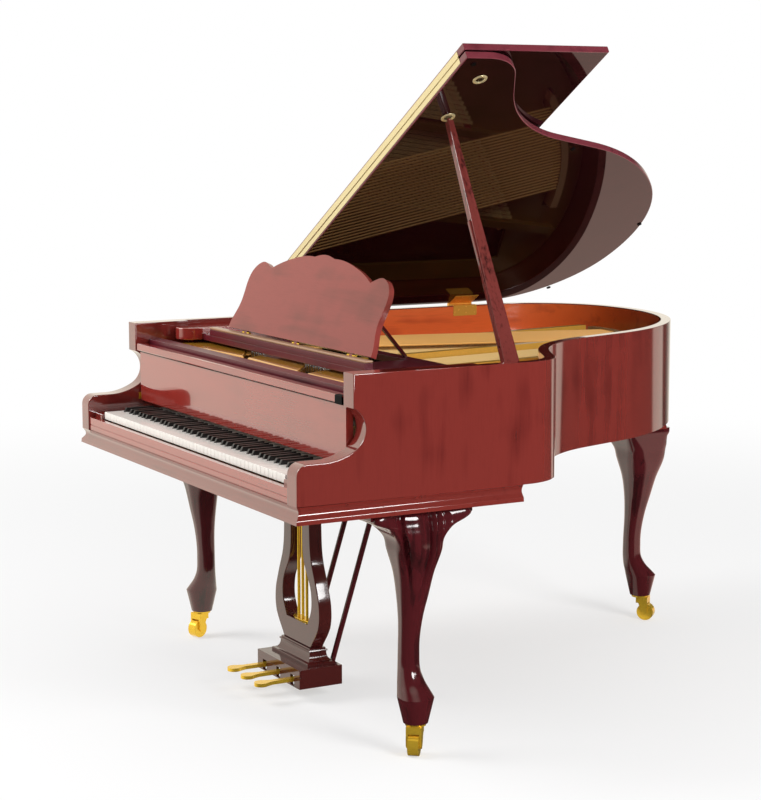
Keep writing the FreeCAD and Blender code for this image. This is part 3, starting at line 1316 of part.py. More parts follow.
def rounded_rectangle(centre, outward, depth, width, corner):
    """Closed wire of four lines and four arcs; depth is the half size along outward."""
    radius = min(depth, width) * corner
    slant = radius * (1 - math.sqrt(0.5))
    facing = FreeCAD.Rotation(ACROSS, outward)
    edges = []
    for quarter in range(4):
        turn = facing.multiply(FreeCAD.Rotation(UP, 90 * quarter))
        ahead, beside = (depth, width) if quarter % 2 == 0 else (width, depth)
        p0 = centre + turn.multVec(Vector(ahead, radius - beside, 0))
        p1 = centre + turn.multVec(Vector(ahead, beside - radius, 0))
        p2 = centre + turn.multVec(Vector(ahead - slant, beside - slant, 0))
        p3 = centre + turn.multVec(Vector(ahead - radius, beside, 0))
        edges.append(Part.LineSegment(p0, p1).toShape())
        edges.append(Part.Arc(p1, p2, p3).toShape())
    return Part.Wire(edges)


def cabriole_leg(x, y, outward, wing):
    """Leg under its plate, bending along outward, with a socket for the caster's stem."""
    wires = []
    for share, reach, depth, width, corner in leg_stations(wing):
        centre = Vector(x, y, LEG_FOOT + LEG_HEIGHT * share) + outward * reach
        wires.append(rounded_rectangle(centre, outward, depth, width, corner))
    body = Part.makeLoft(wires, True, False)
    plate = Part.Face(wires[0]).extrude(UP * LEG_PLATE_THICKNESS)
    foot = Vector(x, y, LEG_FOOT - CUT) + outward * FOOT_REACH
    socket = Part.makeCylinder(CASTER_STEM_RADIUS + RUNNING_GAP, CASTER_STEM_LENGTH + BORE_ROOM + CUT, foot, UP)
    return fuse([body, plate]).cut(socket)


LEGS = {"front_left": (Vector(-LEG_AXIS_X, LEG_AXIS_Y, 0), ACROSS * -1, LEG_WING),
        "front_right": (Vector(LEG_AXIS_X, LEG_AXIS_Y, 0), ACROSS, LEG_WING),
        "rear": (Vector(REAR_LEG_X, REAR_LEG_Y, 0), BACK, 0.0)}


def front_legs():
    """The two front legs."""
    return Part.makeCompound([cabriole_leg(*leg_place(name)) for name in ("front_left", "front_right")])


def leg_place(name):
    """Axis, outward direction and wing length of a leg."""
    axis, outward, wing = LEGS[name]
    return axis.x, axis.y, outward, wing


def foot_centre(name):
    """Middle of a leg's foot at the floor."""
    axis, outward, _ = LEGS[name]
    return axis + outward * FOOT_REACH


def on_caster(shape, name):
    """Shape drawn trailing along +X at the origin, moved under a leg."""
    shape.rotate(Vector(0, 0, 0), UP, CASTER_ANGLES[name])
    shape.translate(foot_centre(name))
    return shape


def caster_fork(name):
    """Swivelling brass horn with stem and axle."""
    top = LEG_FOOT - CASTER_GAP
    plate_low = top - CASTER_PLATE_THICKNESS
    inner = WHEEL_WIDTH / 2 + CASTER_GAP
    trail = CASTER_TRAIL
    ear = FORK_EAR
    crown_low = 2 * WHEEL_RADIUS + FORK_CROWN_GAP
    side = inner + FORK_THICKNESS
    pieces = [Part.makeCylinder(CASTER_PLATE_RADIUS, CASTER_PLATE_THICKNESS, Vector(0, 0, plate_low)),
              box(-ear, trail + ear, -side, side, crown_low, plate_low + JOIN),
              Part.makeCylinder(CASTER_STEM_RADIUS, CASTER_STEM_LENGTH + CASTER_GAP, Vector(0, 0, top)),
              Part.makeCylinder(AXLE_RADIUS, 2 * side, Vector(trail, -side, WHEEL_RADIUS), BACK)]
    for low in (inner, -side):
        points = [Vector(-ear, low, plate_low + JOIN), Vector(trail + ear, low, plate_low + JOIN),
                  Vector(trail + ear, low, WHEEL_RADIUS), Vector(trail, low, WHEEL_RADIUS - ear),
                  Vector(trail - ear, low, WHEEL_RADIUS)]
        pieces.append(polygon_face(points).extrude(Vector(0, FORK_THICKNESS, 0)))
    return on_caster(fuse(pieces), name)


def caster_wheel(name):
    """Solid brass wheel on the fork's axle."""
    start = Vector(CASTER_TRAIL, -WHEEL_WIDTH / 2, WHEEL_RADIUS)
    wheel = Part.makeCylinder(WHEEL_RADIUS, WHEEL_WIDTH, start, BACK)
    bore = Part.makeCylinder(AXLE_RADIUS + RUNNING_GAP, WHEEL_WIDTH + 2 * CUT, start - BACK * CUT, BACK)
    return on_caster(wheel.cut(bore), name)


def rod_bores(low, high):
    """Clearance holes for the three pedal rods."""
    return Part.makeCompound([rod(ROD_RADIUS + ROD_HOLE_GAP, Vector(x, ROD_Y, low), Vector(x, ROD_Y, high))
                              for x in rod_places()])


PLINTH_TOP = BOX_TOP + PLINTH_HEIGHT
LYRE_TOP = MOULDING_BOTTOM - LYRE_CAP_HEIGHT


def lyre_curve(points, side):
    """One side of the lyre's outline; points are (half width, height share)."""
    height = LYRE_TOP - PLINTH_TOP
    return smooth([Vector(side * x, LYRE_FRONT, PLINTH_TOP + height * share) for x, share in points])


def lyre_face(points):
    """Symmetrical flat face between two mirrored curves."""
    right = lyre_curve(points, 1)
    left = lyre_curve(points, -1)
    ends = [(right.valueAt(p), left.valueAt(p)) for p in (right.FirstParameter, right.LastParameter)]
    edges = [right, left] + [Part.LineSegment(a, b).toShape() for a, b in ends]
    return Part.Face(Part.Wire(Part.__sortEdges__(edges)))


def lyre_frame():
    """Lyre-shaped frame hanging from the key bed by its cap."""
    waist = LYRE_HALF_TOP
    bulge = LYRE_HALF_BULGE
    arm = LYRE_ARM
    outer = lyre_face([(waist, 1.0), (waist - LYRE_WAIST_DIP, 0.75), (waist + LYRE_WAIST_FLARE, 0.55),
                       (bulge - LYRE_SHOULDER_EASE, 0.405), (bulge, 0.28), (bulge - LYRE_FOOT_EASE, 0.15),
                       (LYRE_HALF_FOOT, 0.0)])
    inner = lyre_face([(waist - arm, 1.0), (waist - arm - LYRE_WAIST_DIP, 0.75),
                       (waist - arm + LYRE_WAIST_FLARE, 0.53), (bulge - arm - LYRE_OPENING_EASE, 0.36),
                       (bulge - arm - LYRE_FOOT_EASE, 0.25), (bulge - 1.6 * arm, 0.14)])
    frame = outer.extrude(Vector(0, LYRE_THICKNESS, 0))
    frame = frame.cut(inner.extrude(Vector(0, LYRE_THICKNESS, 0)))
    cap_half = waist + LYRE_CAP_OVERHANG
    cap = box(-cap_half, cap_half, LYRE_FRONT - LYRE_CAP_STEP, LYRE_FRONT + LYRE_THICKNESS + LYRE_CAP_STEP,
              LYRE_TOP, MOULDING_BOTTOM)
    return fuse([frame, cap]).cut(rod_bores(PLINTH_TOP - CUT, MOULDING_BOTTOM + CUT))


def pedal_box():
    """Pedal box with its stepped plinth, slots for the pedals and holes for the rods."""
    wall = BOX_WALL
    half = BOX_HALF_WIDTH
    shell = box(-half, half, BOX_FRONT, BOX_BACK, BOX_BOTTOM, BOX_TOP)
    shell = shell.cut(box(-half + wall, half - wall, BOX_FRONT + wall, BOX_BACK - wall,
                          BOX_BOTTOM - CUT, BOX_TOP - wall))
    slot_half = PEDAL_NECK / 2 + PEDAL_SLOT_SIDE
    for x in pedal_places():
        shell = shell.cut(box(x - slot_half, x + slot_half, BOX_FRONT - CUT, BOX_FRONT + wall + JOIN,
                              BOX_BOTTOM + PEDAL_SLOT_SILL, PEDAL_TOP_Z + PEDAL_SLOT_OVER))
    back = LYRE_FRONT + LYRE_THICKNESS
    step = PLINTH_HEIGHT / len(PLINTH_STEPS)
    pieces = [shell]
    for index, grow in enumerate(PLINTH_STEPS):
        low = BOX_TOP + step * index
        wide = LYRE_HALF_FOOT + grow
        deep = grow * PLINTH_DEPTH_SHARE
        pieces.append(box(-wide, wide, LYRE_FRONT - deep, back + deep, low, low + step))
    return fuse(pieces).cut(rod_bores(BOX_TOP - wall - CUT, PLINTH_TOP + CUT))


def pedal_places():
    """X of the three pedals."""
    return (-PEDAL_PITCH, 0.0, PEDAL_PITCH)


PEDAL_AXIS_Z = PEDAL_TOP_Z - PEDAL_THICKNESS / 2


def pedal_shaft():
    """Steel shaft across the pedal box that the pedals turn on."""
    reach = BOX_HALF_WIDTH - BOX_WALL
    return rod(PEDAL_PIVOT_RADIUS, Vector(-reach, PEDAL_PIVOT_Y, PEDAL_AXIS_Z),
               Vector(reach, PEDAL_PIVOT_Y, PEDAL_AXIS_Z))


def pedal(index):
    """Brass pedal with a round toe and, inside the box, an arm under its rod."""
    x = pedal_places()[index]
    rod_x = rod_places()[index]
    low = PEDAL_TOP_Z - PEDAL_THICKNESS
    toe = PEDAL_TOE / 2
    neck = PEDAL_NECK / 2
    toe_y = PEDAL_TIP_Y + toe
    taper_y = toe_y + PEDAL_TAPER
    tail = ROD_Y + 2 * ROD_RADIUS
    pieces = [Part.makeCylinder(toe, PEDAL_THICKNESS, Vector(x, toe_y, low)),
              slab([(x - toe, toe_y), (x + toe, toe_y), (x + neck, taper_y), (x - neck, taper_y)],
                   low, PEDAL_TOP_Z),
              box(x - neck, x + neck, toe_y + toe, tail, low, PEDAL_TOP_Z)]
    if rod_x != x:
        ends = sorted((x, rod_x))
        pieces.append(box(ends[0] - 2 * ROD_RADIUS, ends[1] + 2 * ROD_RADIUS, ROD_Y - 2 * ROD_RADIUS, tail,
                          low, PEDAL_TOP_Z))
    bore = rod(PEDAL_PIVOT_RADIUS + RUNNING_GAP, Vector(x - PEDAL_TOE, PEDAL_PIVOT_Y, PEDAL_AXIS_Z),
               Vector(x + PEDAL_TOE, PEDAL_PIVOT_Y, PEDAL_AXIS_Z))
    return fuse(pieces).cut(bore)


def pedal_rod(index):
    """Brass rod from a pedal's arm up into the key bed."""
    x = rod_places()[index]
    return rod(ROD_RADIUS, Vector(x, ROD_Y, PEDAL_TOP_Z + ROD_SEAT), Vector(x, ROD_Y, RIM_BOTTOM - ROD_TOP_GAP))


def lyre_braces():
    """Two diagonal rods from the pedal box to the key bed."""
    room = box(-HALF, HALF, BOX_BACK, 2 * BRACE_TOP_Y, 0, MOULDING_BOTTOM)
    solids = []
    for x in (-BRACE_X, BRACE_X):
        low = Vector(x, BOX_BACK, BOX_TOP - 2 * BRACE_RADIUS)
        high = Vector(x, BRACE_TOP_Y, MOULDING_BOTTOM)
        along = (high - low).normalize()
        longer = along * (3 * BRACE_RADIUS)
        solids.append(rod(BRACE_RADIUS, low - longer, high + longer).common(room).Solids[0])
    return Part.makeCompound(solids)


def origin():
    """Point on the floor below the middle of the whole piano's box."""
    flap_edge = opened_point(Vector(-HALF, 0, 2 * FLAP_AXIS.z - LID_LOW))
    left = flap_edge.x
    right = HALF + MOULDING_FLARE
    front = -MOULDING_FLARE
    back = tail_end() + LID_OVERHANG
    return Vector((left + right) / 2, (front + back) / 2, 0)


def all_parts():
    """Every node's name and shape, in the drawing frame."""
    parts = {"case_rim": case_rim(), "inner_rim": inner_rim(), "key_bed": key_bed(),
             "base_mouldings": base_mouldings(), "back_frame": back_frame(), "soundboard": soundboard(),
             "soundboard_ribs": soundboard_ribs(), "iron_plate": iron_plate(), "bridges": bridges(),
             "pin_block": pin_block(), "tuning_pins": tuning_pins(), "treble_strings": treble_strings(),
             "bass_strings": bass_strings(), "key_slip": key_slip(), "key_blocks": key_blocks(),
             "fallboard": fallboard(), "fallboard_pivots": fallboard_pivots(), "lid_main": lid_main(),
             "lid_flap": lid_flap(), "piano_hinge_lid_leaf": opened(piano_hinge(1, 0)),
             "piano_hinge_flap_leaf": folded(piano_hinge(-1, 1)), "lid_hinge_rim_leaves": lid_hinges(False),
             "lid_hinge_lid_leaves": lid_hinges(True), "prop_cups": prop_cups(), "lid_buttons": lid_buttons(),
             "prop_long": prop_long(), "prop_short": prop_short(), "prop_bracket": prop_bracket(),
             "desk_tray": desk_tray(), "desk_runners": desk_runners(), "desk_panel": desk_panel(),
             "desk_struts": desk_struts(), "desk_hinges": desk_hinges(), "key_frame": key_frame(),
             "white_keys": white_keys(), "black_keys": black_keys(), "hammers": hammers(),
             "dampers": dampers(), "front_legs": front_legs(), "rear_leg": cabriole_leg(*leg_place("rear")),
             "lyre_frame": lyre_frame(), "pedal_box": pedal_box(), "pedal_shaft": pedal_shaft(),
             "lyre_braces": lyre_braces()}
    for name, index in SINGLE_KEY_INDEX.items():
        parts["key_" + name] = white_key(index)
        parts["key_" + name + "_sharp"] = black_key(index)
    for name in LEGS:
        parts["caster_fork_" + name] = caster_fork(name)
        parts["caster_wheel_" + name] = caster_wheel(name)
    for index, name in enumerate(("left", "middle", "right")):
        parts["pedal_" + name] = pedal(index)
        parts["pedal_rod_" + name] = pedal_rod(index)
    return parts


ORIGIN = origin()
os.makedirs("parts", exist_ok=True)
for node, shape in all_parts().items():
    shape.translate(ORIGIN * -1)
    shape.exportStep("parts/" + node + ".step")
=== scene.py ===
"""Grand piano with its lid open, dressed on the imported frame."""

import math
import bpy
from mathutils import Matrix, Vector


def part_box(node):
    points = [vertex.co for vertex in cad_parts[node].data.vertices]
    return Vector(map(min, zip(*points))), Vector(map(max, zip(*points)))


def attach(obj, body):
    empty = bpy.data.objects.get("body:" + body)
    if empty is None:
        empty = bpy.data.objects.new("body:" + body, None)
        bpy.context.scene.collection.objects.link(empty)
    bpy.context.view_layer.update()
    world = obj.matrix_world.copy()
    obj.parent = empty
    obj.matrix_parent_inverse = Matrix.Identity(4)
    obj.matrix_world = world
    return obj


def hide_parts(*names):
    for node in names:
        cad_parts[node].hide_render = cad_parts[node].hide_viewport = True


bl_info = {
    "name": "Grand piano with cabriole legs",
    "version": (1, 0, 0),
    "blender": (4, 5, 0),
    "location": "View3D > Sidebar > Piano",
    "description": "Polished case, lid, strings, legs and fittings of a grand piano on its packed frame",
    "category": "Object",
}

import bmesh
import bpy
import numpy as np
from bpy.props import FloatProperty, PointerProperty, StringProperty
from mathutils import Vector

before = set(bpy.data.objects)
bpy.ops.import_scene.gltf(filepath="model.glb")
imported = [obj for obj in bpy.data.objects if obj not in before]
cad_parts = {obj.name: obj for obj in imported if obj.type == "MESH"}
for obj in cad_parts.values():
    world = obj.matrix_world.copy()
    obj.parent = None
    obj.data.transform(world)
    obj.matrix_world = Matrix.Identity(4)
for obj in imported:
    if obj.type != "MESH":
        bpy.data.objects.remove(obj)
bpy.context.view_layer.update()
RIM_LOW, RIM_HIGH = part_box("case_rim")

# Drawing axes: X = 0 in the middle of the keyboard, Y = 0 at the arms' front and Z = 0 on the floor.
SHIFT = np.array([(RIM_LOW.x + RIM_HIGH.x) / 2, RIM_LOW.y, 0.0])
HALF = (RIM_HIGH.x - RIM_LOW.x) / 2
RIM_TOP = RIM_HIGH.z
RIM_FOOT = RIM_LOW.z
QUARTER = math.pi / 2
TURN = 2 * math.pi

# The rim's plan as (straight run, turn in degrees, radius) from the treble side to the tail, in metres.
SIDE_LENGTH = 0.665
PLAN_WALK = ((0.0, 63.0, 0.150), (0.105, 0.0, 0.0), (0.0, -46.0, 0.470), (0.160, 0.0, 0.0),
             (0.0, 33.0, 0.760), (0.0, 50.0, 0.600))
# Arms, lid, legs, prop cups and veneer on the drawing's axes, in metres.
# FOOT_RIM is a share of a leg's height.
ARM_SETBACK = 0.156
ARM_TOP = 0.788
COVE_RADIUS = 0.058
SWEEP_RADIUS = 0.178
NOSE_RADIUS = 0.030
KEY_BED_LOW = 0.640
SOUNDBOARD_TOP = 0.868
LID_LOW = RIM_TOP + 0.003
LID_THICKNESS = 0.020
LID_AXIS = (-HALF - 0.0055, RIM_TOP + 0.0015)
FLAP_LEVEL = 1.0255
LEG_FOOT = 0.082
FOOT_RIM = 0.12
LEG_WING = 0.066
LEG_TOP = 0.639
LEG_X = HALF - 0.092
FRONT_LEG_Y = 0.364
REAR_LEG_X = -0.1752
REAR_LEG_Y = 1.6629
CUP_Y = 0.689
CUP_REACH = (1.182, 1.372)
VENEER_GAP = 0.0003


class PianoSizes(bpy.types.PropertyGroup):
    """Sizes of the dressed pieces, in metres on the drawing's axes."""
    rim_thickness: FloatProperty(name="Rim thickness", description="Outer rim's wall", default=0.030,
                                 unit="LENGTH")
    arm_thickness: FloatProperty(name="Arm thickness", description="Width of an arm", default=0.055,
                                 unit="LENGTH")
    arm_length: FloatProperty(name="Arm length", description="Depth of an arm", default=0.330, unit="LENGTH")
    edge_round: FloatProperty(name="Edge rounding", description="Radius of polished edges", default=0.0015,
                              unit="LENGTH")
    lid_angle: FloatProperty(name="Lid angle", description="Opening of the lid", default=math.radians(31.2),
                             subtype="ANGLE")
    lid_overhang: FloatProperty(name="Lid overhang", description="Lid beyond the rim", default=0.014,
                                unit="LENGTH")
    lid_front: FloatProperty(name="Lid front", description="Front edge of the main lid", default=0.595,
                             unit="LENGTH")
    flap_depth: FloatProperty(name="Flap depth", description="Depth of the front flap", default=0.455,
                              unit="LENGTH")


class PianoColours(bpy.types.PropertyGroup):
    """Colours of the finishes as sRGB hex values."""
    case_light: StringProperty(name="Case light", description="Light streaks of the case", default="7C2B25")
    case_dark: StringProperty(name="Case dark", description="Dark streaks of the case", default="5E1A17")
    leg_light: StringProperty(name="Leg light", description="Light streaks of the legs", default="4C151A")
    leg_dark: StringProperty(name="Leg dark", description="Dark streaks of the legs", default="120607")
    inner_light: StringProperty(name="Inside light", description="Light streaks inside the rim",
                                default="EC662C")
    inner_dark: StringProperty(name="Inside dark", description="Dark streaks inside the rim",
                               default="BC441C")
    lid_light: StringProperty(name="Lid light", description="Light streaks of the lid", default="240B0D")
    lid_dark: StringProperty(name="Lid dark", description="Dark streaks of the lid", default="0F0406")


def linear(text):
    """sRGB hex text to linear RGBA."""
    value = np.array([int(text[i:i + 2], 16) / 255 for i in (0, 2, 4)])
    flat = np.where(value <= 0.04045, value / 12.92, ((value + 0.055) / 1.055) ** 2.4)
    return (*flat.tolist(), 1.0)


def put(tree, kind, inputs=None, **settings):
    """Add a node, set its attributes, and fill or link its inputs."""
    made = tree.nodes.new(kind)
    for name, value in settings.items():
        setattr(made, name, value)
    for name, value in (inputs or {}).items():
        if isinstance(value, bpy.types.NodeSocket):
            tree.links.new(value, made.inputs[name])
        else:
            made.inputs[name].default_value = value
    return made


def blank_material(name):
    """Empty material with its tree and output node."""
    made = bpy.data.materials.new(name)
    made.use_nodes = True
    tree = made.node_tree
    tree.nodes.clear()
    return made, tree, tree.nodes.new("ShaderNodeOutputMaterial")


def ramp_stops(ramp, stops):
    """Set a colour ramp's stops from (place, hex) pairs."""
    stripes = ramp.color_ramp.elements
    while len(stripes) > 1:
        stripes.remove(stripes[-1])
    stripes[0].position, stripes[0].color = stops[0][0], linear(stops[0][1])
    for place, text in stops[1:]:
        stripes.new(place).color = linear(text)


def painted_shade_in_mirror(tree, colour, share):
    """Colour as it is seen directly, and darkened to a share of its brightness where a polished face mirrors
    it, as painted shade.
    """
    path = put(tree, "ShaderNodeLightPath")
    dim = put(tree, "ShaderNodeMapRange", {"Value": path.outputs["Is Glossy Ray"], "To Min": 1.0,
                                           "To Max": share})
    scaled = put(tree, "ShaderNodeVectorMath", {0: colour, "Scale": dim.outputs[0]}, operation="SCALE")
    return scaled.outputs[0]


# Width of a cloud, length of a streak and size of a pore in the veneers, in metres.
# Real pores are about 0.3 mm wide; they are drawn at 2 mm so that they show in the render.
CLOUD_WIDTH = 0.2
STREAK_LENGTH = 0.6
PORE_WIDTH = 0.002
PORE_LENGTH = 0.05
# Polyester has an IOR of about 1.56; the coat's is raised to mirror as strongly as the polished panels do.
COAT_IOR = 1.9


def polished_wood(name, light, dark, grain_axis, coat=1.0, gloss=0.03, under=0.12, streak_mm=14.0,
                  mirrored=1.0):
    """Veneer under clear polyester: long streaks of a given width, fine pores and a mirror-like coat."""
    made, tree, out = blank_material(name)
    stretch = [1000 / streak_mm] * 3
    stretch[grain_axis] = 1 / STREAK_LENGTH
    place = put(tree, "ShaderNodeTexCoord")
    streak = put(tree, "ShaderNodeMapping", {"Vector": place.outputs["Object"], "Scale": stretch})
    flow = put(tree, "ShaderNodeTexNoise", {"Vector": streak.outputs[0], "Scale": 1.0, "Detail": 3.0,
                                            "Roughness": 0.5, "Distortion": 0.35})
    broad = put(tree, "ShaderNodeTexNoise", {"Vector": place.outputs["Object"], "Scale": 1 / CLOUD_WIDTH,
                                             "Detail": 2.0})
    mixed = put(tree, "ShaderNodeMix", {"Factor": 0.5, "A": flow.outputs["Fac"], "B": broad.outputs["Fac"]})
    ramp = put(tree, "ShaderNodeValToRGB", {"Fac": mixed.outputs[0]})
    ramp_stops(ramp, [(0.3, dark), (0.48, light), (0.6, light), (0.75, dark)])
    fine = [1 / PORE_WIDTH] * 3
    fine[grain_axis] = 1 / PORE_LENGTH
    pore_place = put(tree, "ShaderNodeMapping", {"Vector": place.outputs["Object"], "Scale": fine})
    pore = put(tree, "ShaderNodeTexNoise", {"Vector": pore_place.outputs[0], "Scale": 1.0, "Detail": 2.0})
    pore_ramp = put(tree, "ShaderNodeMapRange", {"Value": pore.outputs["Fac"], "From Min": 0.35,
                                                 "From Max": 0.5, "To Min": 0.93, "To Max": 1.0})
    tint = put(tree, "ShaderNodeVectorMath", {0: ramp.outputs["Color"], 1: pore_ramp.outputs[0]},
               operation="MULTIPLY")
    # Below 1, mirrored darkens the colour only where a polished face mirrors it: painted shade.
    colour = painted_shade_in_mirror(tree, tint.outputs[0], mirrored) if mirrored < 1 else tint.outputs[0]
    surface = put(tree, "ShaderNodeBsdfPrincipled", {"Base Color": colour, "Roughness": under,
                                                     "IOR": 1.5, "Coat Weight": coat, "Coat Roughness": gloss,
                                                     "Coat IOR": COAT_IOR})
    tree.links.new(surface.outputs[0], out.inputs[0])
    return made


def metal(name, colour, roughness, grain_mm, bump, metallic=1.0):
    """Metal with faint uneven polish: noise of the given grain drives roughness and a small bump."""
    made, tree, out = blank_material(name)
    place = put(tree, "ShaderNodeTexCoord")
    noise = put(tree, "ShaderNodeTexNoise", {"Vector": place.outputs["Object"], "Scale": 1000 / grain_mm,
                                             "Detail": 3.0})
    rough = put(tree, "ShaderNodeMapRange", {"Value": noise.outputs["Fac"], "To Min": roughness * 0.7,
                                             "To Max": roughness * 1.3})
    lift = put(tree, "ShaderNodeBump", {"Strength": bump, "Distance": 0.0004, "Height": noise.outputs["Fac"]})
    surface = put(tree, "ShaderNodeBsdfPrincipled", {"Base Color": linear(colour), "Metallic": metallic,
                                                     "Roughness": rough.outputs[0],
                                                     "Normal": lift.outputs[0]})
    tree.links.new(surface.outputs[0], out.inputs[0])
    return made


def coated(name, colour, roughness, coat, grain_mm, shade=0.12, metallic=0.0, bump=0.1, shine=0.5,
           mirrored=1.0):
    """Plain surface with a soft mottle of the given grain and an optional clear coat."""
    made, tree, out = blank_material(name)
    place = put(tree, "ShaderNodeTexCoord")
    noise = put(tree, "ShaderNodeTexNoise", {"Vector": place.outputs["Object"], "Scale": 1000 / grain_mm,
                                             "Detail": 4.0})
    ramp = put(tree, "ShaderNodeValToRGB", {"Fac": noise.outputs["Fac"]})
    base = np.array(linear(colour)[:3])
    ramp.color_ramp.elements[0].position = 0.3
    ramp.color_ramp.elements[0].color = (*(base * (1 - shade)).tolist(), 1.0)
    ramp.color_ramp.elements[1].position = 0.7
    ramp.color_ramp.elements[1].color = (*np.minimum(base * (1 + shade), 1).tolist(), 1.0)
    lift = put(tree, "ShaderNodeBump", {"Strength": bump, "Distance": 0.0005, "Height": noise.outputs["Fac"]})
    # Below 1, mirrored darkens the colour only where a polished face mirrors it: painted shade.
    tint = painted_shade_in_mirror(tree, ramp.outputs["Color"], mirrored) if mirrored < 1 else ramp.outputs["Color"]
    surface = put(tree, "ShaderNodeBsdfPrincipled", {"Base Color": tint, "Roughness": roughness,
                                                     "Metallic": metallic, "Normal": lift.outputs[0],
                                                     "Coat Weight": coat, "Coat Roughness": 0.05,
                                                     "Specular IOR Level": shine})
    tree.links.new(surface.outputs[0], out.inputs[0])
    return made


# Finishes by name, filled by make_materials.
MATERIALS = {}


def make_materials():
    """All finishes of the piano; grains, in millimetres, are drawn as coarse as they need to show."""
    hue = bpy.context.scene.piano_colours
    MATERIALS.update({
        # Case: red-brown panels with broad upright streaks under a mirror coat.
        "case": polished_wood("polished_mahogany", hue.case_light, hue.case_dark, 2, streak_mm=45.0),
        # Fallboard and key slip: even red along the keyboard, pale where it mirrors the wall.
        "case_long": polished_wood("polished_mahogany_long_grain", "9E332B", "902E28", 0, streak_mm=40.0),
        # Mouldings: narrow streaks along the run and sharp light lines on the curves.
        "moulding": polished_wood("polished_mahogany_moulding", hue.case_light, hue.case_dark, 0),
        # Music desk: broad cloudy figure with a soft sheen.
        "desk": polished_wood("polished_mahogany_desk", "94403A", "6E342C", 0, coat=0.0, streak_mm=70.0),
        # Tray and rails: dark wine red with a satin sheen.
        "tray": polished_wood("satin_mahogany_tray", "601826", "42101C", 0, coat=0.0, under=0.35),
        # Ledge strip: pale satin brown line under the desk.
        "ledge": polished_wood("varnished_maple_ledge", "B08A6C", "9C785C", 0, coat=0.0, under=0.3),
        # Lid: near black and smooth enough to mirror the strings.
        "lid": polished_wood("polished_mahogany_lid", hue.lid_light, hue.lid_dark, 1, coat=0.0, under=0.03),
        # Lid's narrow edges: lighter wine red that outlines the lid.
        "lid_edge": polished_wood("polished_mahogany_lid_edge", "74303A", "5A232C", 0, coat=0.3,
                                  streak_mm=40.0),
        # Props: thin dark and red stripes along their length.
        "prop": polished_wood("polished_mahogany_prop", "74322E", "260D0C", 2, coat=0.4, streak_mm=8.0),
        # Legs: almost black, with red showing through in upright streaks.
        "leg": polished_wood("dark_mahogany", hue.leg_light, hue.leg_dark, 2, coat=0.25, streak_mm=24.0),
        # Lyre and pedal box: dark brown, paler on the front that mirrors the wall.
        "lyre": polished_wood("dark_mahogany_lyre", "4A1A18", "341012", 2, coat=0.35, streak_mm=40.0),
        # Inside of the rim: glowing orange, darkened in the lid's mirror picture as painted shade.
        "inside": polished_wood("maple_veneer_stained_orange", hue.inner_light, hue.inner_dark, 1, gloss=0.06,
                                under=0.3, streak_mm=30.0, mirrored=0.12),
        # Soundboard: varnished spruce, its colour darkened to amber brown as painted shade from the lid, fine
        # grain along the piano, and darker still in the lid's mirror picture as painted shade.
        "spruce": polished_wood("varnished_spruce_painted_shade", "7A4A22", "5C3618", 1, coat=0.4, gloss=0.15,
                                mirrored=0.3),
        # Hidden frame and bridges: bare pale wood.
        "beech": polished_wood("beech", "C79A6B", "A9784A", 0, coat=0.0),
        # Casters, pedals and rods: saturated yellow with soft mirror lights.
        "brass": metal("polished_brass", "F8CC40", 0.18, 6.0, 0.05, 0.65),
        # Long hinge and prop cups: pale straw-coloured metal.
        "pale_brass": metal("bright_nickelled_brass", "EFE0AE", 0.2, 6.0, 0.05, 0.6),
        # Front webs of the plate: glossy orange gold.
        "web": coated("glossy_gold_lacquer", "E8A63C", 0.2, 0.8, 3.0, metallic=0.3, bump=0.1),
        # Plate: bright gold with a faint cast grain, darkened in the lid's mirror picture as painted shade.
        "plate": coated("gold_lacquered_cast_iron", "E8B24C", 0.32, 0.4, 3.0, metallic=0.3, bump=0.2,
                        mirrored=0.25),
        # Pins: cool bright metal.
        "steel": metal("bright_steel", "C9CACC", 0.22, 5.0, 0.05),
        # Treble wires: steel given a warm pale colour as painted warm light, lines that catch the light.
        "wire": metal("plain_steel_string", "F6D08A", 0.35, 2.0, 0.1, 0.1),
        # Spine hinges: brass with the orange of the veneer beside it painted into its colour, a painted
        # reflection.
        "hinge": metal("brass_hinge", "F2AE48", 0.25, 6.0, 0.05, 0.4),
        # Bass wires: thicker copper-gold lines.
        "copper": metal("copper_winding", "FABC66", 0.35, 2.0, 0.1, 0.1),
        # White keys: clean warm white with a soft gloss.
        "white": coated("acrylic_key_top", "FBF9F2", 0.25, 0.4, 30.0, shade=0.015, bump=0.0),
        # Black keys and dampers: dull black with a faint gleam.
        "black": coated("black_phenolic_key", "0A0A0B", 0.45, 0.15, 8.0, shade=0.2, bump=0.05),
        # String felt: fuzzy matt red.
        "felt": coated("wool_felt", "8E1F1B", 0.95, 0.0, 1.2, shade=0.25, bump=0.5),
        # Hammers: fuzzy off-white.
        "hammer_felt": coated("white_wool_felt", "D8D2C4", 0.95, 0.0, 1.2, shade=0.1, bump=0.5),
        # Lid buttons: matt black rubber; the same matt black draws the painted shadow strip under the nosing
        # and the black block at the nosing's right end.
        "rubber": coated("black_rubber", "0C0C0C", 0.6, 0.0, 2.0, shade=0.2, shine=0.08),
    })


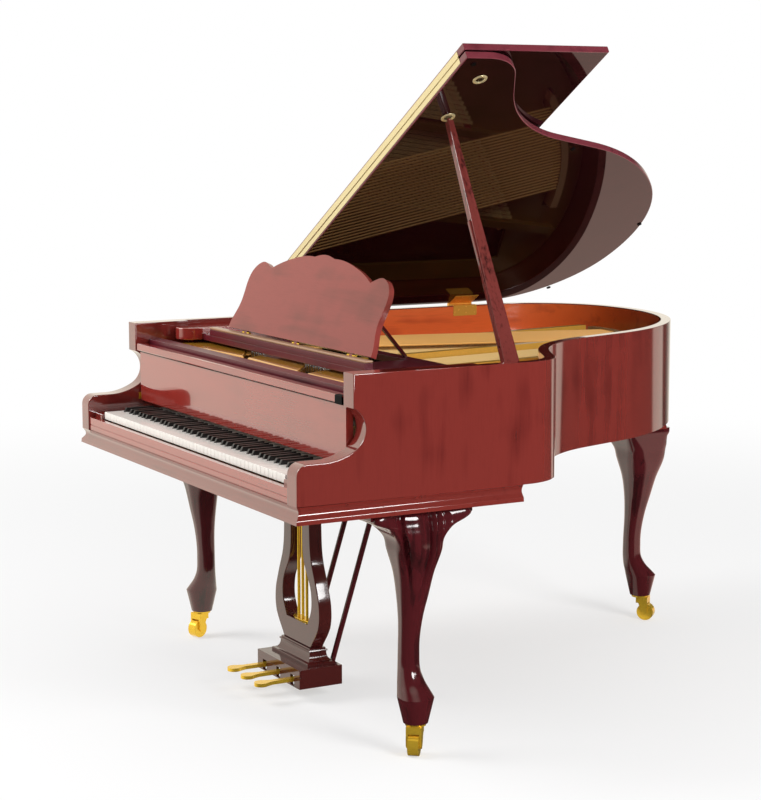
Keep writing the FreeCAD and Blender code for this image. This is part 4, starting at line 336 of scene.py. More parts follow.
# Finish of each carried-over node that isn't brass.
NODE_FINISH = {
    "inner_rim": "beech", "key_bed": "leg", "back_frame": "beech", "soundboard": "spruce",
    "soundboard_ribs": "spruce", "iron_plate": "plate", "bridges": "beech", "pin_block": "beech",
    "tuning_pins": "steel", "treble_strings": "steel", "bass_strings": "copper", "key_slip": "case_long",
    "key_blocks": "case", "fallboard": "case_long", "lid_hinge_rim_leaves": "hinge",
    "lid_hinge_lid_leaves": "hinge", "piano_hinge_lid_leaf": "pale_brass",
    "piano_hinge_flap_leaf": "pale_brass", "lid_buttons": "rubber", "prop_long": "prop",
    "prop_short": "prop", "desk_tray": "tray", "desk_runners": "tray", "desk_panel": "desk",
    "desk_struts": "leg", "key_frame": "beech", "white_keys": "white", "black_keys": "black",
    "key_f": "white", "key_g": "white", "key_f_sharp": "black", "key_g_sharp": "black",
    "hammers": "hammer_felt", "dampers": "black", "case_rim": "case", "base_mouldings": "case",
    "lid_main": "lid", "lid_flap": "lid", "front_legs": "leg", "rear_leg": "leg", "lyre_frame": "leg",
    "pedal_box": "leg", "pedal_shaft": "steel", "lyre_braces": "leg",
}

# Width in metres of the rounding on the carried-over nodes whose edges catch the light.
NODE_ROUNDING = {
    "fallboard": 0.002, "key_slip": 0.002, "key_blocks": 0.003, "desk_runners": 0.001, "prop_long": 0.002,
    "prop_short": 0.001, "white_keys": 0.001, "black_keys": 0.0015, "key_f": 0.001, "key_g": 0.001,
    "key_f_sharp": 0.0015, "key_g_sharp": 0.0015,
}


def finish_of(node):
    """Finish of a carried-over node; casters, pedals, rods and small fittings are brass."""
    return NODE_FINISH.get(node, "brass")


class PIANO_OT_frame_finishes(bpy.types.Operator):
    """Give every carried-over node its finish, and softly rounded edges to those in NODE_ROUNDING"""
    bl_idname = "piano.frame_finishes"
    bl_label = "Frame finishes"

    def execute(self, context):
        make_materials()
        for name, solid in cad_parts.items():
            solid.data.materials.clear()
            solid.data.materials.append(MATERIALS[finish_of(name)])
            if name in NODE_ROUNDING:
                solid.modifiers.new("weld", "WELD").merge_threshold = 1e-5
                rounding = solid.modifiers.new("rounding", "BEVEL")
                rounding.width = NODE_ROUNDING[name]
                rounding.segments = 2
                rounding.limit_method = "ANGLE"
                rounding.angle_limit = math.radians(40.0)
        return {"FINISHED"}


def blend_curve(knots, values, at):
    """Smooth curve through values at knots: cubic pieces whose slopes come from the neighbouring knots."""
    knots = np.asarray(knots, float)
    values = np.asarray(values, float).reshape(len(knots), -1)
    slopes = np.gradient(values, knots, axis=0)
    index = np.clip(np.searchsorted(knots, at, side="right") - 1, 0, len(knots) - 2)
    width = (knots[index + 1] - knots[index])[:, None]
    share = (np.asarray(at) - knots[index])[:, None] / width
    rest = 1 - share
    start = (1 + 2 * share) * rest ** 2 * values[index] + share * rest ** 2 * width * slopes[index]
    end = share ** 2 * (3 - 2 * share) * values[index + 1] - share ** 2 * rest * width * slopes[index + 1]
    return start + end


def plan_line(inset, front, spine_inset=None, step=0.008):
    """Points and outward normals along the case's plan: runs and arcs from the treble round the tail."""
    spine = -HALF + (inset if spine_inset is None else spine_inset)
    place = np.array([HALF - inset, front])
    heading = QUARTER
    walk = [(SIDE_LENGTH - front, 0.0, 0.0)]
    for run, turn, radius in PLAN_WALK:
        walk.append((run, math.radians(turn), radius - math.copysign(inset, turn) if turn else 0.0))
    walk += [(0.0, None, 0.0), (None, 0.0, 0.0)]
    points = []
    normals = []
    for run, turn, radius in walk:
        if turn is None:
            turn = 3 * QUARTER - heading
            radius = (place[0] - spine) / (1 + math.sin(heading))
        if run is None:
            run = place[1] - front
        length = abs(turn) * radius if turn else run
        share = np.linspace(0.0, 1.0, max(3, int(length / step)))
        angles = heading + turn * share
        if turn:
            side = math.copysign(QUARTER, turn)
            centre = place + radius * np.array([math.cos(heading + side), math.sin(heading + side)])
            line = centre + radius * np.stack([np.cos(angles - side), np.sin(angles - side)], axis=1)
        else:
            line = place + run * share[:, None] * np.array([math.cos(heading), math.sin(heading)])
        points.append(line[:-1])
        normals.append(np.stack([np.sin(angles), -np.cos(angles)], axis=1)[:-1])
        place = line[-1]
        heading += turn
    points.append(place[None, :])
    normals.append(np.array([[math.sin(heading), -math.cos(heading)]]))
    return np.concatenate(points), np.concatenate(normals)


def grid_faces(rows, columns, closed_rows=False, closed_columns=False):
    """Quads between neighbouring rows and columns of a grid of points."""
    first = np.arange(rows if closed_rows else rows - 1)[:, None]
    second = np.arange(columns if closed_columns else columns - 1)[None, :]
    after = (first + 1) % rows
    beside = (second + 1) % columns
    corners = [first * columns + second, first * columns + beside, after * columns + beside,
               after * columns + second]
    return np.stack(np.broadcast_arrays(*corners), axis=-1).reshape(-1, 4).tolist()


def patch(points, closed_rows=False, closed_columns=False, caps=False):
    """Grid of points (rows, columns, 3) as a surface; caps close its first and last row."""
    rows, columns = points.shape[:2]
    faces = grid_faces(rows, columns, closed_rows, closed_columns)
    if caps:
        faces.append(list(range(columns)))
        faces.append(list(range((rows - 1) * columns, rows * columns)))
    return points.reshape(-1, 3), faces


def joined(patches):
    """Several surfaces as one list of points and faces."""
    points = []
    faces = []
    count = 0
    for spots, corners in patches:
        points.append(spots)
        faces += [[index + count for index in face] for face in corners]
        count += len(spots)
    return np.concatenate(points), faces


def piece(name, surface, finish, body, replaces=(), angle=32.0):
    """Object from points and faces: doubles merged, faces outwards, smooth but for edges over the angle."""
    points, faces = surface
    mesh = bpy.data.meshes.new(name)
    mesh.from_pydata((points + SHIFT).tolist(), [], faces)
    work = bmesh.new()
    work.from_mesh(mesh)
    bmesh.ops.remove_doubles(work, verts=work.verts, dist=2e-6)
    bmesh.ops.recalc_face_normals(work, faces=work.faces)
    work.to_mesh(mesh)
    work.free()
    mesh.polygons.foreach_set("use_smooth", np.ones(len(mesh.polygons), bool))
    mesh.set_sharp_from_angle(angle=math.radians(angle))
    mesh.materials.append(MATERIALS[finish])
    made = bpy.data.objects.new(name, mesh)
    bpy.context.scene.collection.objects.link(made)
    level = made.modifiers.new("level_flats", "WEIGHTED_NORMAL")
    level.keep_sharp = True
    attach(made, body)
    if replaces:
        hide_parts(*replaces)
    return made


def round_steps(radius, count=5):
    """Quarter round as (inset, rise) pairs from the flat side to the top."""
    angles = np.linspace(0.0, QUARTER, count)
    return radius * (1 - np.cos(angles)), radius * np.sin(angles)


def rounded_section(width, low, high, radius):
    """Closed upright section (inset, height): outer side, rounded top edges, inner side."""
    inset, rise = round_steps(radius)
    outer = np.stack([inset, high - radius + rise], axis=1)
    inner = np.stack([width - inset[::-1], high - radius + rise[::-1]], axis=1)
    return np.concatenate([[[0.0, low]], outer, inner, [[width, low]]])


def panel(outline, low, high, radius, weights=None):
    """Flat board on a closed outline: quarter-round edges at both faces, edges weighted 0 stay square."""
    ahead = np.roll(outline, -1, axis=0) - outline
    behind = outline - np.roll(outline, 1, axis=0)
    ahead /= np.linalg.norm(ahead, axis=1, keepdims=True)
    behind /= np.linalg.norm(behind, axis=1, keepdims=True)
    inward = np.stack([-ahead[:, 1] - behind[:, 1], ahead[:, 0] + behind[:, 0]], axis=1)
    inward /= 1 + np.sum(ahead * behind, axis=1, keepdims=True)
    area = np.sum(outline[:, 0] * np.roll(outline[:, 1], -1) - outline[:, 1] * np.roll(outline[:, 0], -1))
    inward *= math.copysign(1.0, area)
    if weights is not None:
        inward = inward * np.asarray(weights)[:, None]
    inset, rise = round_steps(radius)
    depth = np.concatenate([inset[::-1], inset])
    level = np.concatenate([low + radius - rise[::-1], high - radius + rise])
    rows = outline[None] + inward[None] * depth[:, None, None]
    heights = np.broadcast_to(level[:, None, None], (len(level), len(outline), 1))
    return patch(np.concatenate([rows, heights], axis=2), closed_columns=True, caps=True)


def swapped(surface, order):
    """Surface with its axes put in another order."""
    points, faces = surface
    return points[:, order], faces


def moved(surface, shift):
    """Surface moved by a vector."""
    points, faces = surface
    return points + np.asarray(shift), faces


def rectangle(x0, x1, y0, y1):
    """Corners of a rectangle, anticlockwise."""
    return np.array([[x0, y0], [x1, y0], [x1, y1], [x0, y1]], float)


def block(x0, x1, y0, y1, z0, z1, radius=0.0015):
    """Board with softened edges between two corners."""
    return panel(rectangle(x0, x1, y0, y1), z0, z1, radius)


def tubes(starts, ends, radius, sides=6):
    """Straight round wires: a ring of points at each end of every line."""
    along = ends - starts
    along = along / np.linalg.norm(along, axis=1, keepdims=True)
    other = np.where(np.abs(along[:, 2:3]) > 0.9, [[1.0, 0.0, 0.0]], [[0.0, 0.0, 1.0]])
    first = np.cross(along, other)
    first /= np.linalg.norm(first, axis=1, keepdims=True)
    second = np.cross(along, first)
    angles = np.linspace(0.0, TURN, sides, endpoint=False)
    ring = first[:, None] * np.cos(angles)[:, None] + second[:, None] * np.sin(angles)[:, None]
    radius = np.broadcast_to(np.asarray(radius, float), (len(starts),))[:, None, None]
    points = np.stack([starts[:, None] + ring * radius, ends[:, None] + ring * radius], axis=1)
    base = np.asarray(grid_faces(2, sides, closed_columns=True))
    faces = base[None] + (np.arange(len(starts)) * 2 * sides)[:, None, None]
    return points.reshape(-1, 3), faces.reshape(-1, 4).tolist()


def revolve(section, centre, sides=24):
    """Section of (radius, height) pairs turned about an upright axis."""
    angles = np.linspace(0.0, TURN, sides, endpoint=False)
    radius = section[:, 0][:, None]
    points = np.stack([radius * np.cos(angles), radius * np.sin(angles),
                       np.broadcast_to(section[:, 1][:, None], (len(section), sides))], axis=2)
    return patch(points + np.asarray(centre), closed_columns=True, caps=True)


def copies(surface, shifts):
    """The same surface at many places."""
    points, faces = surface
    spots = (points[None] + np.asarray(shifts)[:, None]).reshape(-1, 3)
    steps = np.arange(len(shifts)) * len(points)
    return spots, [[index + int(step) for index in face] for step in steps for face in faces]


def opened(surface):
    """Surface of the closed lid swung up about the hinge line on the spine."""
    points, faces = surface
    angle = bpy.context.scene.piano_sizes.lid_angle
    across = points[:, 0] - LID_AXIS[0]
    above = points[:, 2] - LID_AXIS[1]
    turned = np.stack([LID_AXIS[0] + across * math.cos(angle) - above * math.sin(angle), points[:, 1],
                       LID_AXIS[1] + across * math.sin(angle) + above * math.cos(angle)], axis=1)
    return turned, faces


def arm_scroll():
    """Side outline (y, z) of an arm: upright, cove arc, long sweep, flat rest and round nose."""
    start, finish = math.radians(66.0), math.radians(-60.0)
    slope = QUARTER + finish
    centre_y = ARM_SETBACK - COVE_RADIUS * math.cos(start)
    centre_z = ARM_TOP + SWEEP_RADIUS * (1 - math.cos(slope)) - COVE_RADIUS * math.sin(finish)
    turn = np.linspace(start, finish, 40)
    cove = np.stack([centre_y + COVE_RADIUS * np.cos(turn), centre_z + COVE_RADIUS * np.sin(turn)], axis=1)
    sweep_y = cove[-1, 0] - SWEEP_RADIUS * math.sin(slope)
    turn = np.linspace(slope, 0.0, 26)[1:]
    sweep = np.stack([sweep_y + SWEEP_RADIUS * np.sin(turn), ARM_TOP + SWEEP_RADIUS * (1 - np.cos(turn))],
                     axis=1)
    turn = np.linspace(0.0, QUARTER, 16)
    nose = np.stack([NOSE_RADIUS * (1 - np.sin(turn)), ARM_TOP - NOSE_RADIUS * (1 - np.cos(turn))], axis=1)
    length = bpy.context.scene.piano_sizes.arm_length
    ends = np.array([[0.0, RIM_FOOT], [length, RIM_FOOT], [length, RIM_TOP], [ARM_SETBACK, RIM_TOP]])
    return np.concatenate([ends[2:], cove, sweep, nose, ends[:2]])


class PIANO_OT_case(bpy.types.Operator):
    """Bent rim with scrolled arms, and the veneer inside it"""
    bl_idname = "piano.case"
    bl_label = "Case"

    def execute(self, context):
        sizes = context.scene.piano_sizes
        line, normal = plan_line(0.0, sizes.arm_length)
        section = rounded_section(sizes.rim_thickness, RIM_FOOT, RIM_TOP, sizes.edge_round)
        plan = line[:, None] - normal[:, None] * section[None, :, :1]
        heights = np.broadcast_to(section[None, :, 1:], (len(line), len(section), 1))
        rim = patch(np.concatenate([plan, heights], axis=2), closed_columns=True, caps=True)
        outline = arm_scroll()
        weights = (outline[:, 0] < sizes.arm_length - 1e-6).astype(float)
        arm = panel(outline, 0.0, sizes.arm_thickness, 2 * sizes.edge_round, weights)
        arm = swapped(arm, [2, 0, 1])
        arms = [moved(arm, (x, 0.0, 0.0)) for x in (-HALF, HALF - sizes.arm_thickness)]
        piece("polished_case", joined([rim, *arms]), "case", "case", ["case_rim"])
        line, normal = plan_line(sizes.rim_thickness + VENEER_GAP, sizes.lid_front)
        heights = np.linspace(SOUNDBOARD_TOP, RIM_TOP - 2 * sizes.edge_round, 4)
        ribbon = np.concatenate([np.broadcast_to(line[:, None], (len(line), 4, 2)),
                                 np.broadcast_to(heights[None, :, None], (len(line), 4, 1))], axis=2)
        piece("rim_inner_veneer", patch(ribbon), "inside", "case")
        return {"FINISHED"}


# Moulding in metres: its section, where it ends towards the tail, and the block over the rear leg.
# HOLLOW_SHARE and FLARE_FROM are shares of its height.
MOULDING_HEIGHT = 0.044
MOULDING_DEPTH = 0.040
HOLLOW_DEPTH = 0.008
HOLLOW_SHARE = 0.75
FLARE_REACH = 0.003
FLARE_FROM = 0.5
FLARE_POWER = 0.6
MOULDING_BACK = 0.65
TAIL_BLOCK_HALF = 0.105
TAIL_BLOCK_FRONT = 1.59
TAIL_FROM = 1.4


def moulding_section(count=40):
    """Cyma section (outset, height) from the case's foot down: a hollow, then a flaring foot."""
    share = np.linspace(0.0, 1.0, count)
    scoop = -HOLLOW_DEPTH * np.sin(math.pi * np.minimum(share / HOLLOW_SHARE, 1.0))
    flare = FLARE_REACH * np.maximum(0.0, (share - FLARE_FROM) / (1 - FLARE_FROM)) ** FLARE_POWER
    return np.stack([scoop + flare, RIM_FOOT - MOULDING_HEIGHT * share], axis=1)


class PIANO_OT_mouldings(bpy.types.Operator):
    """Moulding under the keyboard's three sides and the moulded block at the tail"""
    bl_idname = "piano.mouldings"
    bl_label = "Mouldings"

    def execute(self, context):
        section = moulding_section()
        inner = np.array([[-MOULDING_DEPTH, section[-1, 1]], [-MOULDING_DEPTH, RIM_FOOT]])
        section = np.concatenate([section, inner])
        corners = np.array([[HALF, MOULDING_BACK], [HALF, 0.0], [-HALF, 0.0], [-HALF, MOULDING_BACK]])
        outward = np.array([[1.0, 0.0], [1.0, -1.0], [-1.0, -1.0], [-1.0, 0.0]])
        plan = corners[:, None] + outward[:, None] * section[None, :, :1]
        heights = np.broadcast_to(section[None, :, 1:], (len(corners), len(section), 1))
        front = patch(np.concatenate([plan, heights], axis=2), closed_columns=True, caps=True)
        line, normal = plan_line(0.0, 0.0)
        tail = line[:, 1] > TAIL_FROM
        left, right = REAR_LEG_X - TAIL_BLOCK_HALF, REAR_LEG_X + TAIL_BLOCK_HALF
        across = np.linspace(right, left, 40)
        rows = []
        for outset, height in moulding_section():
            edge = (line + normal * outset)[tail]
            depth = np.interp(across[::-1], edge[::-1, 0], edge[::-1, 1])[::-1]
            ends = [[left, TAIL_BLOCK_FRONT], [right, TAIL_BLOCK_FRONT]]
            ring = np.concatenate([np.stack([across, depth], axis=1), ends])
            rows.append(np.concatenate([ring, np.full((len(ring), 1), height)], axis=1))
        tail_block = patch(np.stack(rows), closed_columns=True, caps=True)
        piece("base_moulding", joined([front, tail_block]), "moulding", "case",
              ["base_mouldings"])
        return {"FINISHED"}


# Faces whose normal has a smaller share of the board's own normal count as its narrow edges.
FLAT_SHARE = 0.99


def edge_finish(board, finish):
    """Second finish on the narrow edges of an opened board: faces that lean from the board's own normal."""
    angle = bpy.context.scene.piano_sizes.lid_angle
    mesh = board.data
    mesh.materials.append(MATERIALS[finish])
    normals = np.empty(3 * len(mesh.polygons))
    mesh.polygons.foreach_get("normal", normals)
    upright = normals.reshape(-1, 3) @ np.array([-math.sin(angle), 0.0, math.cos(angle)])
    mesh.polygons.foreach_set("material_index", (np.abs(upright) < FLAT_SHARE).astype(np.int32))


class PIANO_OT_lid(bpy.types.Operator):
    """Main lid and the front flap folded back on it"""
    bl_idname = "piano.lid"
    bl_label = "Lid"

    def execute(self, context):
        sizes = context.scene.piano_sizes
        line, _ = plan_line(-sizes.lid_overhang, sizes.lid_front, 0.0)
        main = panel(line, LID_LOW, LID_LOW + LID_THICKNESS, 2 * sizes.edge_round)
        board = piece("lid_board", opened(main), "lid", "lid", ["lid_main"])
        edge_finish(board, "lid_edge")
        front = sizes.lid_front
        level = 2 * FLAP_LEVEL - LID_LOW - LID_THICKNESS
        flap = block(-HALF, HALF + sizes.lid_overhang, front, front + sizes.flap_depth, level,
                     level + LID_THICKNESS, 2 * sizes.edge_round)
        board = piece("lid_flap_board", opened(flap), "lid", "flap", ["lid_flap"])
        edge_finish(board, "lid_edge")
        # Cup as (radius, height from the lid's underside): outer edge, rim and hollow.
        cup = np.array([[0.0205, 0.0], [0.0198, -0.0012], [0.016, -0.002], [0.0125, -0.0014],
                        [0.0115, 0.0002], [0.0, 0.0004]])
        cups = [revolve(cup, (across - HALF, CUP_Y, LID_LOW), 28) for across in CUP_REACH]
        piece("prop_cup_rings", opened(joined(cups)), "pale_brass", "lid", ["prop_cups"])
        return {"FINISHED"}


# Cabriole leg as (height share, reach, half depth, flare of the wings, corner share), from foot to top.
LEG_FOOT_TABLE = np.array([[0.0, 0.036, 0.0313, 0.0, 0.92], [FOOT_RIM, 0.036, 0.0466, 0.0, 0.92]])
LEG_TABLE = np.array([[FOOT_RIM, 0.036, 0.0466, 0.0, 0.92], [0.147, 0.0262, 0.0415, 0.0, 0.92],
                      [0.180, 0.0135, 0.0352, 0.0, 0.9], [0.223, 0.003, 0.0295, 0.0, 0.88],
                      [0.320, -0.001, 0.0265, 0.0, 0.85], [0.485, 0.0078, 0.0305, 0.0, 0.85],
                      [0.601, 0.0177, 0.0402, 0.0, 0.85], [0.698, 0.0229, 0.0505, 0.0, 0.82],
                      [0.814, 0.026, 0.068, 0.0, 0.7], [0.873, 0.0234, 0.0712, 0.03, 0.58],
                      [0.898, 0.0195, 0.074, 0.13, 0.5], [0.928, 0.013, 0.0765, 0.40, 0.4],
                      [0.953, 0.0078, 0.079, 0.86, 0.3], [0.970, 0.0052, 0.0817, 1.0, 0.2],
                      [1.0, 0.0052, 0.0817, 1.0, 0.16]])

# Carving of a knee: heights as shares of the leg, depths in metres, angles in degrees round the leg.
KNEE_START = 0.56
KNEE_RISE = 0.30
KNEE_TURN = 15.0
GROOVE_PLACE = 20.0
GROOVE_FAN = 11.0
GROOVE_DEPTH = 0.017
GROOVE_WIDTH = 9.0
FINE_GROOVES = ((0.008, 14.0), (0.007, 25.0))
FINE_WIDTH = 5.0
LOBE_HEIGHT = 0.004
LOBE_WIDTH = 26.0
ROLL_START = 0.93
ROLL_DEPTH = 0.020
ROLL_END = 85.0
ROLL_FADE = 20.0

# Edges of the legs over this angle, in degrees, stay sharp.
LEG_SHARP = 38.0

# Block between a leg and the key bed, in metres.
BRACKET_HALF = 0.0617
BRACKET_SIDE = 0.0817
BRACKET_REACH = 0.0052
BRACKET_FOOT = 0.622
BRACKET_ROUND = 0.005


def hollow(away, width):
    """Smooth bump of height 1 at zero, gone beyond its width (radians)."""
    return np.cos(QUARTER * np.minimum(np.abs(away) / width, 1.0)) ** 2


def carved_leg(axis, outward, wing, carving):
    """Cabriole leg: rounded rectangles along a bent axis, hollowed by grooves that fan out over the knee."""
    low_share = np.linspace(0.0, FOOT_RIM, 8)[:-1]
    high_share = np.linspace(FOOT_RIM, 1.0, 190)
    foot = LEG_FOOT_TABLE
    low = np.stack([np.interp(low_share, foot[:, 0], foot[:, i]) for i in range(1, 5)], axis=1)
    high = blend_curve(LEG_TABLE[:, 0], LEG_TABLE[:, 1:], high_share)
    share = np.concatenate([low_share, high_share])[:, None]
    reach, depth, flare, corner = np.concatenate([low, high]).T[:, :, None]
    width = depth + wing * flare
    angle = np.linspace(-math.pi, math.pi, 240, endpoint=False)[None]
    ahead, beside = np.abs(np.cos(angle)), np.abs(np.sin(angle))
    radius = depth * np.clip(corner, 0.05, 0.97)
    near, far = depth - radius, width - radius
    # Distance from the axis to a rounded rectangle: round corner first, then the flat sides.
    along = near * ahead + far * beside
    distance = along + np.sqrt(np.maximum(along ** 2 - near ** 2 - far ** 2 + radius ** 2, 0.0))
    distance = np.where(beside * depth <= far * ahead, depth / np.maximum(ahead, 1e-6), distance)
    distance = np.where(ahead * width <= near * beside, width / np.maximum(beside, 1e-6), distance)
    # Two deep grooves beside a raised lobe, finer ones beyond, and a roll back at the top of the knee.
    rise = np.clip((share - KNEE_START) / KNEE_RISE, 0.0, 1.0)
    cut = rise * rise * (3 - 2 * rise)
    forward = np.asarray(outward, float)
    tailward = angle * (1.0 if forward[0] > 0 else -1.0) + math.radians(KNEE_TURN)
    spread = np.radians(GROOVE_PLACE + GROOVE_FAN * cut)
    deep = GROOVE_DEPTH * hollow(np.abs(tailward) - spread, math.radians(GROOVE_WIDTH))
    fine = sum(cutting * hollow(tailward - spread - math.radians(away), math.radians(FINE_WIDTH))
               for cutting, away in FINE_GROOVES)
    lobe = LOBE_HEIGHT * (hollow(tailward, math.radians(LOBE_WIDTH)) - 1)
    roll = np.clip((share - ROLL_START) / (1 - ROLL_START), 0.0, 1.0)
    fade = np.clip((math.radians(ROLL_END) - np.abs(angle)) / math.radians(ROLL_FADE), 0.0, 1.0)
    back = ROLL_DEPTH * (1 - np.sqrt(np.maximum(1 - roll ** 2, 0.0))) * fade
    distance = distance + carving * (cut * (lobe - deep - fine) - back)
    sideways = np.array([-forward[1], forward[0]])
    centre = np.asarray(axis)[None, None] + reach[..., None] * forward
    around = np.cos(angle)[..., None] * forward + np.sin(angle)[..., None] * sideways
    plan = centre + distance[..., None] * around
    heights = np.broadcast_to((LEG_FOOT + (LEG_TOP - LEG_FOOT) * share)[..., None], plan.shape[:2] + (1,))
    leg = patch(np.concatenate([plan, heights], axis=2), closed_columns=True, caps=True)
    half = np.array([BRACKET_HALF, BRACKET_SIDE + wing if forward[0] else BRACKET_HALF])
    middle = np.asarray(axis) + BRACKET_REACH * forward
    lows, highs = middle - half, middle + half
    bracket = block(lows[0], highs[0], lows[1], highs[1], BRACKET_FOOT, KEY_BED_LOW, BRACKET_ROUND)
    return [leg, bracket]


class PIANO_OT_legs(bpy.types.Operator):
    """Two front legs with carved knees and a plain one at the tail"""
    bl_idname = "piano.legs"
    bl_label = "Legs"

    def execute(self, context):
        left = carved_leg((-LEG_X, FRONT_LEG_Y), (-1.0, 0.0), LEG_WING, 1.0)
        right = carved_leg((LEG_X, FRONT_LEG_Y), (1.0, 0.0), LEG_WING, 1.0)
        piece("carved_front_legs", joined(left + right), "leg", "case", ["front_legs"],
              LEG_SHARP)
        rear = carved_leg((REAR_LEG_X, REAR_LEG_Y), (0.0, 1.0), 0.0, 0.0)
        piece("plain_rear_leg", joined(rear), "leg", "case", ["rear_leg"], LEG_SHARP)
        return {"FINISHED"}


# Lyre as (height share, half width in metres) of its outer and inner outlines.
# It is open above LYRE_SPLIT, a share of its height; edges over BOX_SHARP, in degrees, stay sharp.
# The other sizes of the lyre, the rods' guide and the pedal box are in metres.
LYRE_OUTER = np.array([[0.0, 0.084], [0.15, 0.134], [0.28, 0.138], [0.405, 0.118], [0.55, 0.090],
                       [0.75, 0.080], [1.0, 0.082]])
LYRE_INNER = np.array([[0.14, 0.0644], [0.25, 0.088], [0.36, 0.086], [0.53, 0.044], [0.75, 0.034],
                       [1.0, 0.036]])
LYRE_SPLIT = 0.14
LYRE_ROUND = 0.003
ROD_LINE = 0.382
GUIDE_HALF = (0.054, 0.015)
GUIDE_THICKNESS = 0.003
BOX_ROUND = 0.0004
BOX_SHARP = 40.0

# Strings and plate, in metres on the drawing's axes; leans in degrees.
# LEAD_SHARE is the drawn radius between pin and bend as a share of the speaking wire's.
TREBLE_ARC = np.array([[0.600, 0.5806], [0.140, 1.0044], [-0.500, 1.4906]])
STRING_FRONT = 0.430
BAR_PLACES = np.array([-0.330, -0.020, 0.270, 0.500])
PLATE_TOP = 0.905
TREBLE_LEVEL = 0.918
BASS_LEVEL = 0.935
PIN_ROWS = np.array([0.374, 0.392, 0.410])
COIL_RISE = 0.011
LEAD_SHARE = 0.8
TREBLE_SPAN = (-0.305, 0.590)
TREBLE_NOTES = 60
TREBLE_WIRES = 3
TREBLE_LEAN = -8.0
TREBLE_BEYOND = 0.045
TREBLE_RADIUS = 0.0012
TREBLE_GAP = 0.0045
BAR_CLEARANCE = 0.019
BASS_SPAN = (-0.640, -0.370)
BASS_NOTES = 24
BASS_LEAN = 14.0
BASS_INSET = 0.120
BASS_RADIUS = 0.003
BASS_HITCH_RISE = 0.019
BASS_SHORTEST = 0.3
HITCH_GAP = 0.002
FELT_NEAR = 0.018
FELT_FAR = 0.034
FELT_LOW = 0.004
FELT_HIGH = 0.001


def circle_through(points):
    """Centre and radius of the circle through three points."""
    sides = 2 * (points[1:] - points[0])
    squares = np.sum(points[1:] ** 2, axis=1) - np.sum(points[0] ** 2)
    centre = np.linalg.solve(sides, squares)
    return centre, float(np.linalg.norm(points[0] - centre))


def string_direction(lean):
    """Plan direction of strings that lean from straight back (degrees, positive to the treble)."""
    return np.array([math.sin(math.radians(lean)), math.cos(math.radians(lean))])


def treble_lines(beyond):
    """Treble notes as starts and ends in plan: parallel lines cut by the bridge's arc moved back."""
    across = np.linspace(*TREBLE_SPAN, TREBLE_NOTES)
    free = np.min(np.abs(across[:, None] - BAR_PLACES[None]), axis=1) > BAR_CLEARANCE
    starts = np.stack([across[free], np.full(free.sum(), STRING_FRONT)], axis=1)
    along = string_direction(TREBLE_LEAN)
    centre, radius = circle_through(TREBLE_ARC)
    lean_in = np.linalg.norm(np.array([0.0, STRING_FRONT]) - centre) < radius
    radius += beyond if lean_in else -beyond
    offset = starts - centre
    half = offset @ along
    root = np.sqrt(np.maximum(half ** 2 - np.sum(offset ** 2, axis=1) + radius ** 2, 0.0))
    length = -half + root if lean_in else -half - root
    return starts, starts + length[:, None] * along


def bass_lines(inset):
    """Bass notes as starts and ends in plan: parallel lines cut by the rim's plan at an inset."""
    across = np.linspace(*BASS_SPAN, BASS_NOTES)
    starts = np.stack([across, np.full(BASS_NOTES, STRING_FRONT)], axis=1)
    along = string_direction(BASS_LEAN)
    line, _ = plan_line(inset, STRING_FRONT)
    aside = np.array([along[1], -along[0]])
    gap = (line[None] - starts[:, None]) @ aside
    depth = (line[None] - starts[:, None]) @ along
    nearest = np.where(depth > BASS_SHORTEST, np.abs(gap), np.inf).argmin(axis=1)
    length = depth[np.arange(BASS_NOTES), nearest]
    return starts, starts + length[:, None] * along


def wires(starts, ends, level, gap, count, radius):
    """Each note as a few parallel wires, carried forward to its own row of tuning pins."""
    places = (np.arange(count) - (count - 1) / 2) * gap
    shift = np.stack([places, np.zeros(count)], axis=1)
    fronts = (starts[:, None] + shift[None]).reshape(-1, 2)
    backs = (ends[:, None] + shift[None]).reshape(-1, 2)
    rows = np.tile(PIN_ROWS[:count], len(starts))
    pins = np.stack([fronts[:, 0], rows], axis=1)
    tall = np.full((len(fronts), 1), level)
    coil = np.full((len(fronts), 1), PLATE_TOP + COIL_RISE)
    bends = np.concatenate([fronts, tall], axis=1)
    speaking = tubes(bends, np.concatenate([backs, tall], axis=1), radius)
    leading = tubes(np.concatenate([pins, coil], axis=1), bends, radius * LEAD_SHARE)
    return joined([speaking, leading]), np.concatenate([pins, np.full((len(pins), 1), PLATE_TOP)], axis=1)


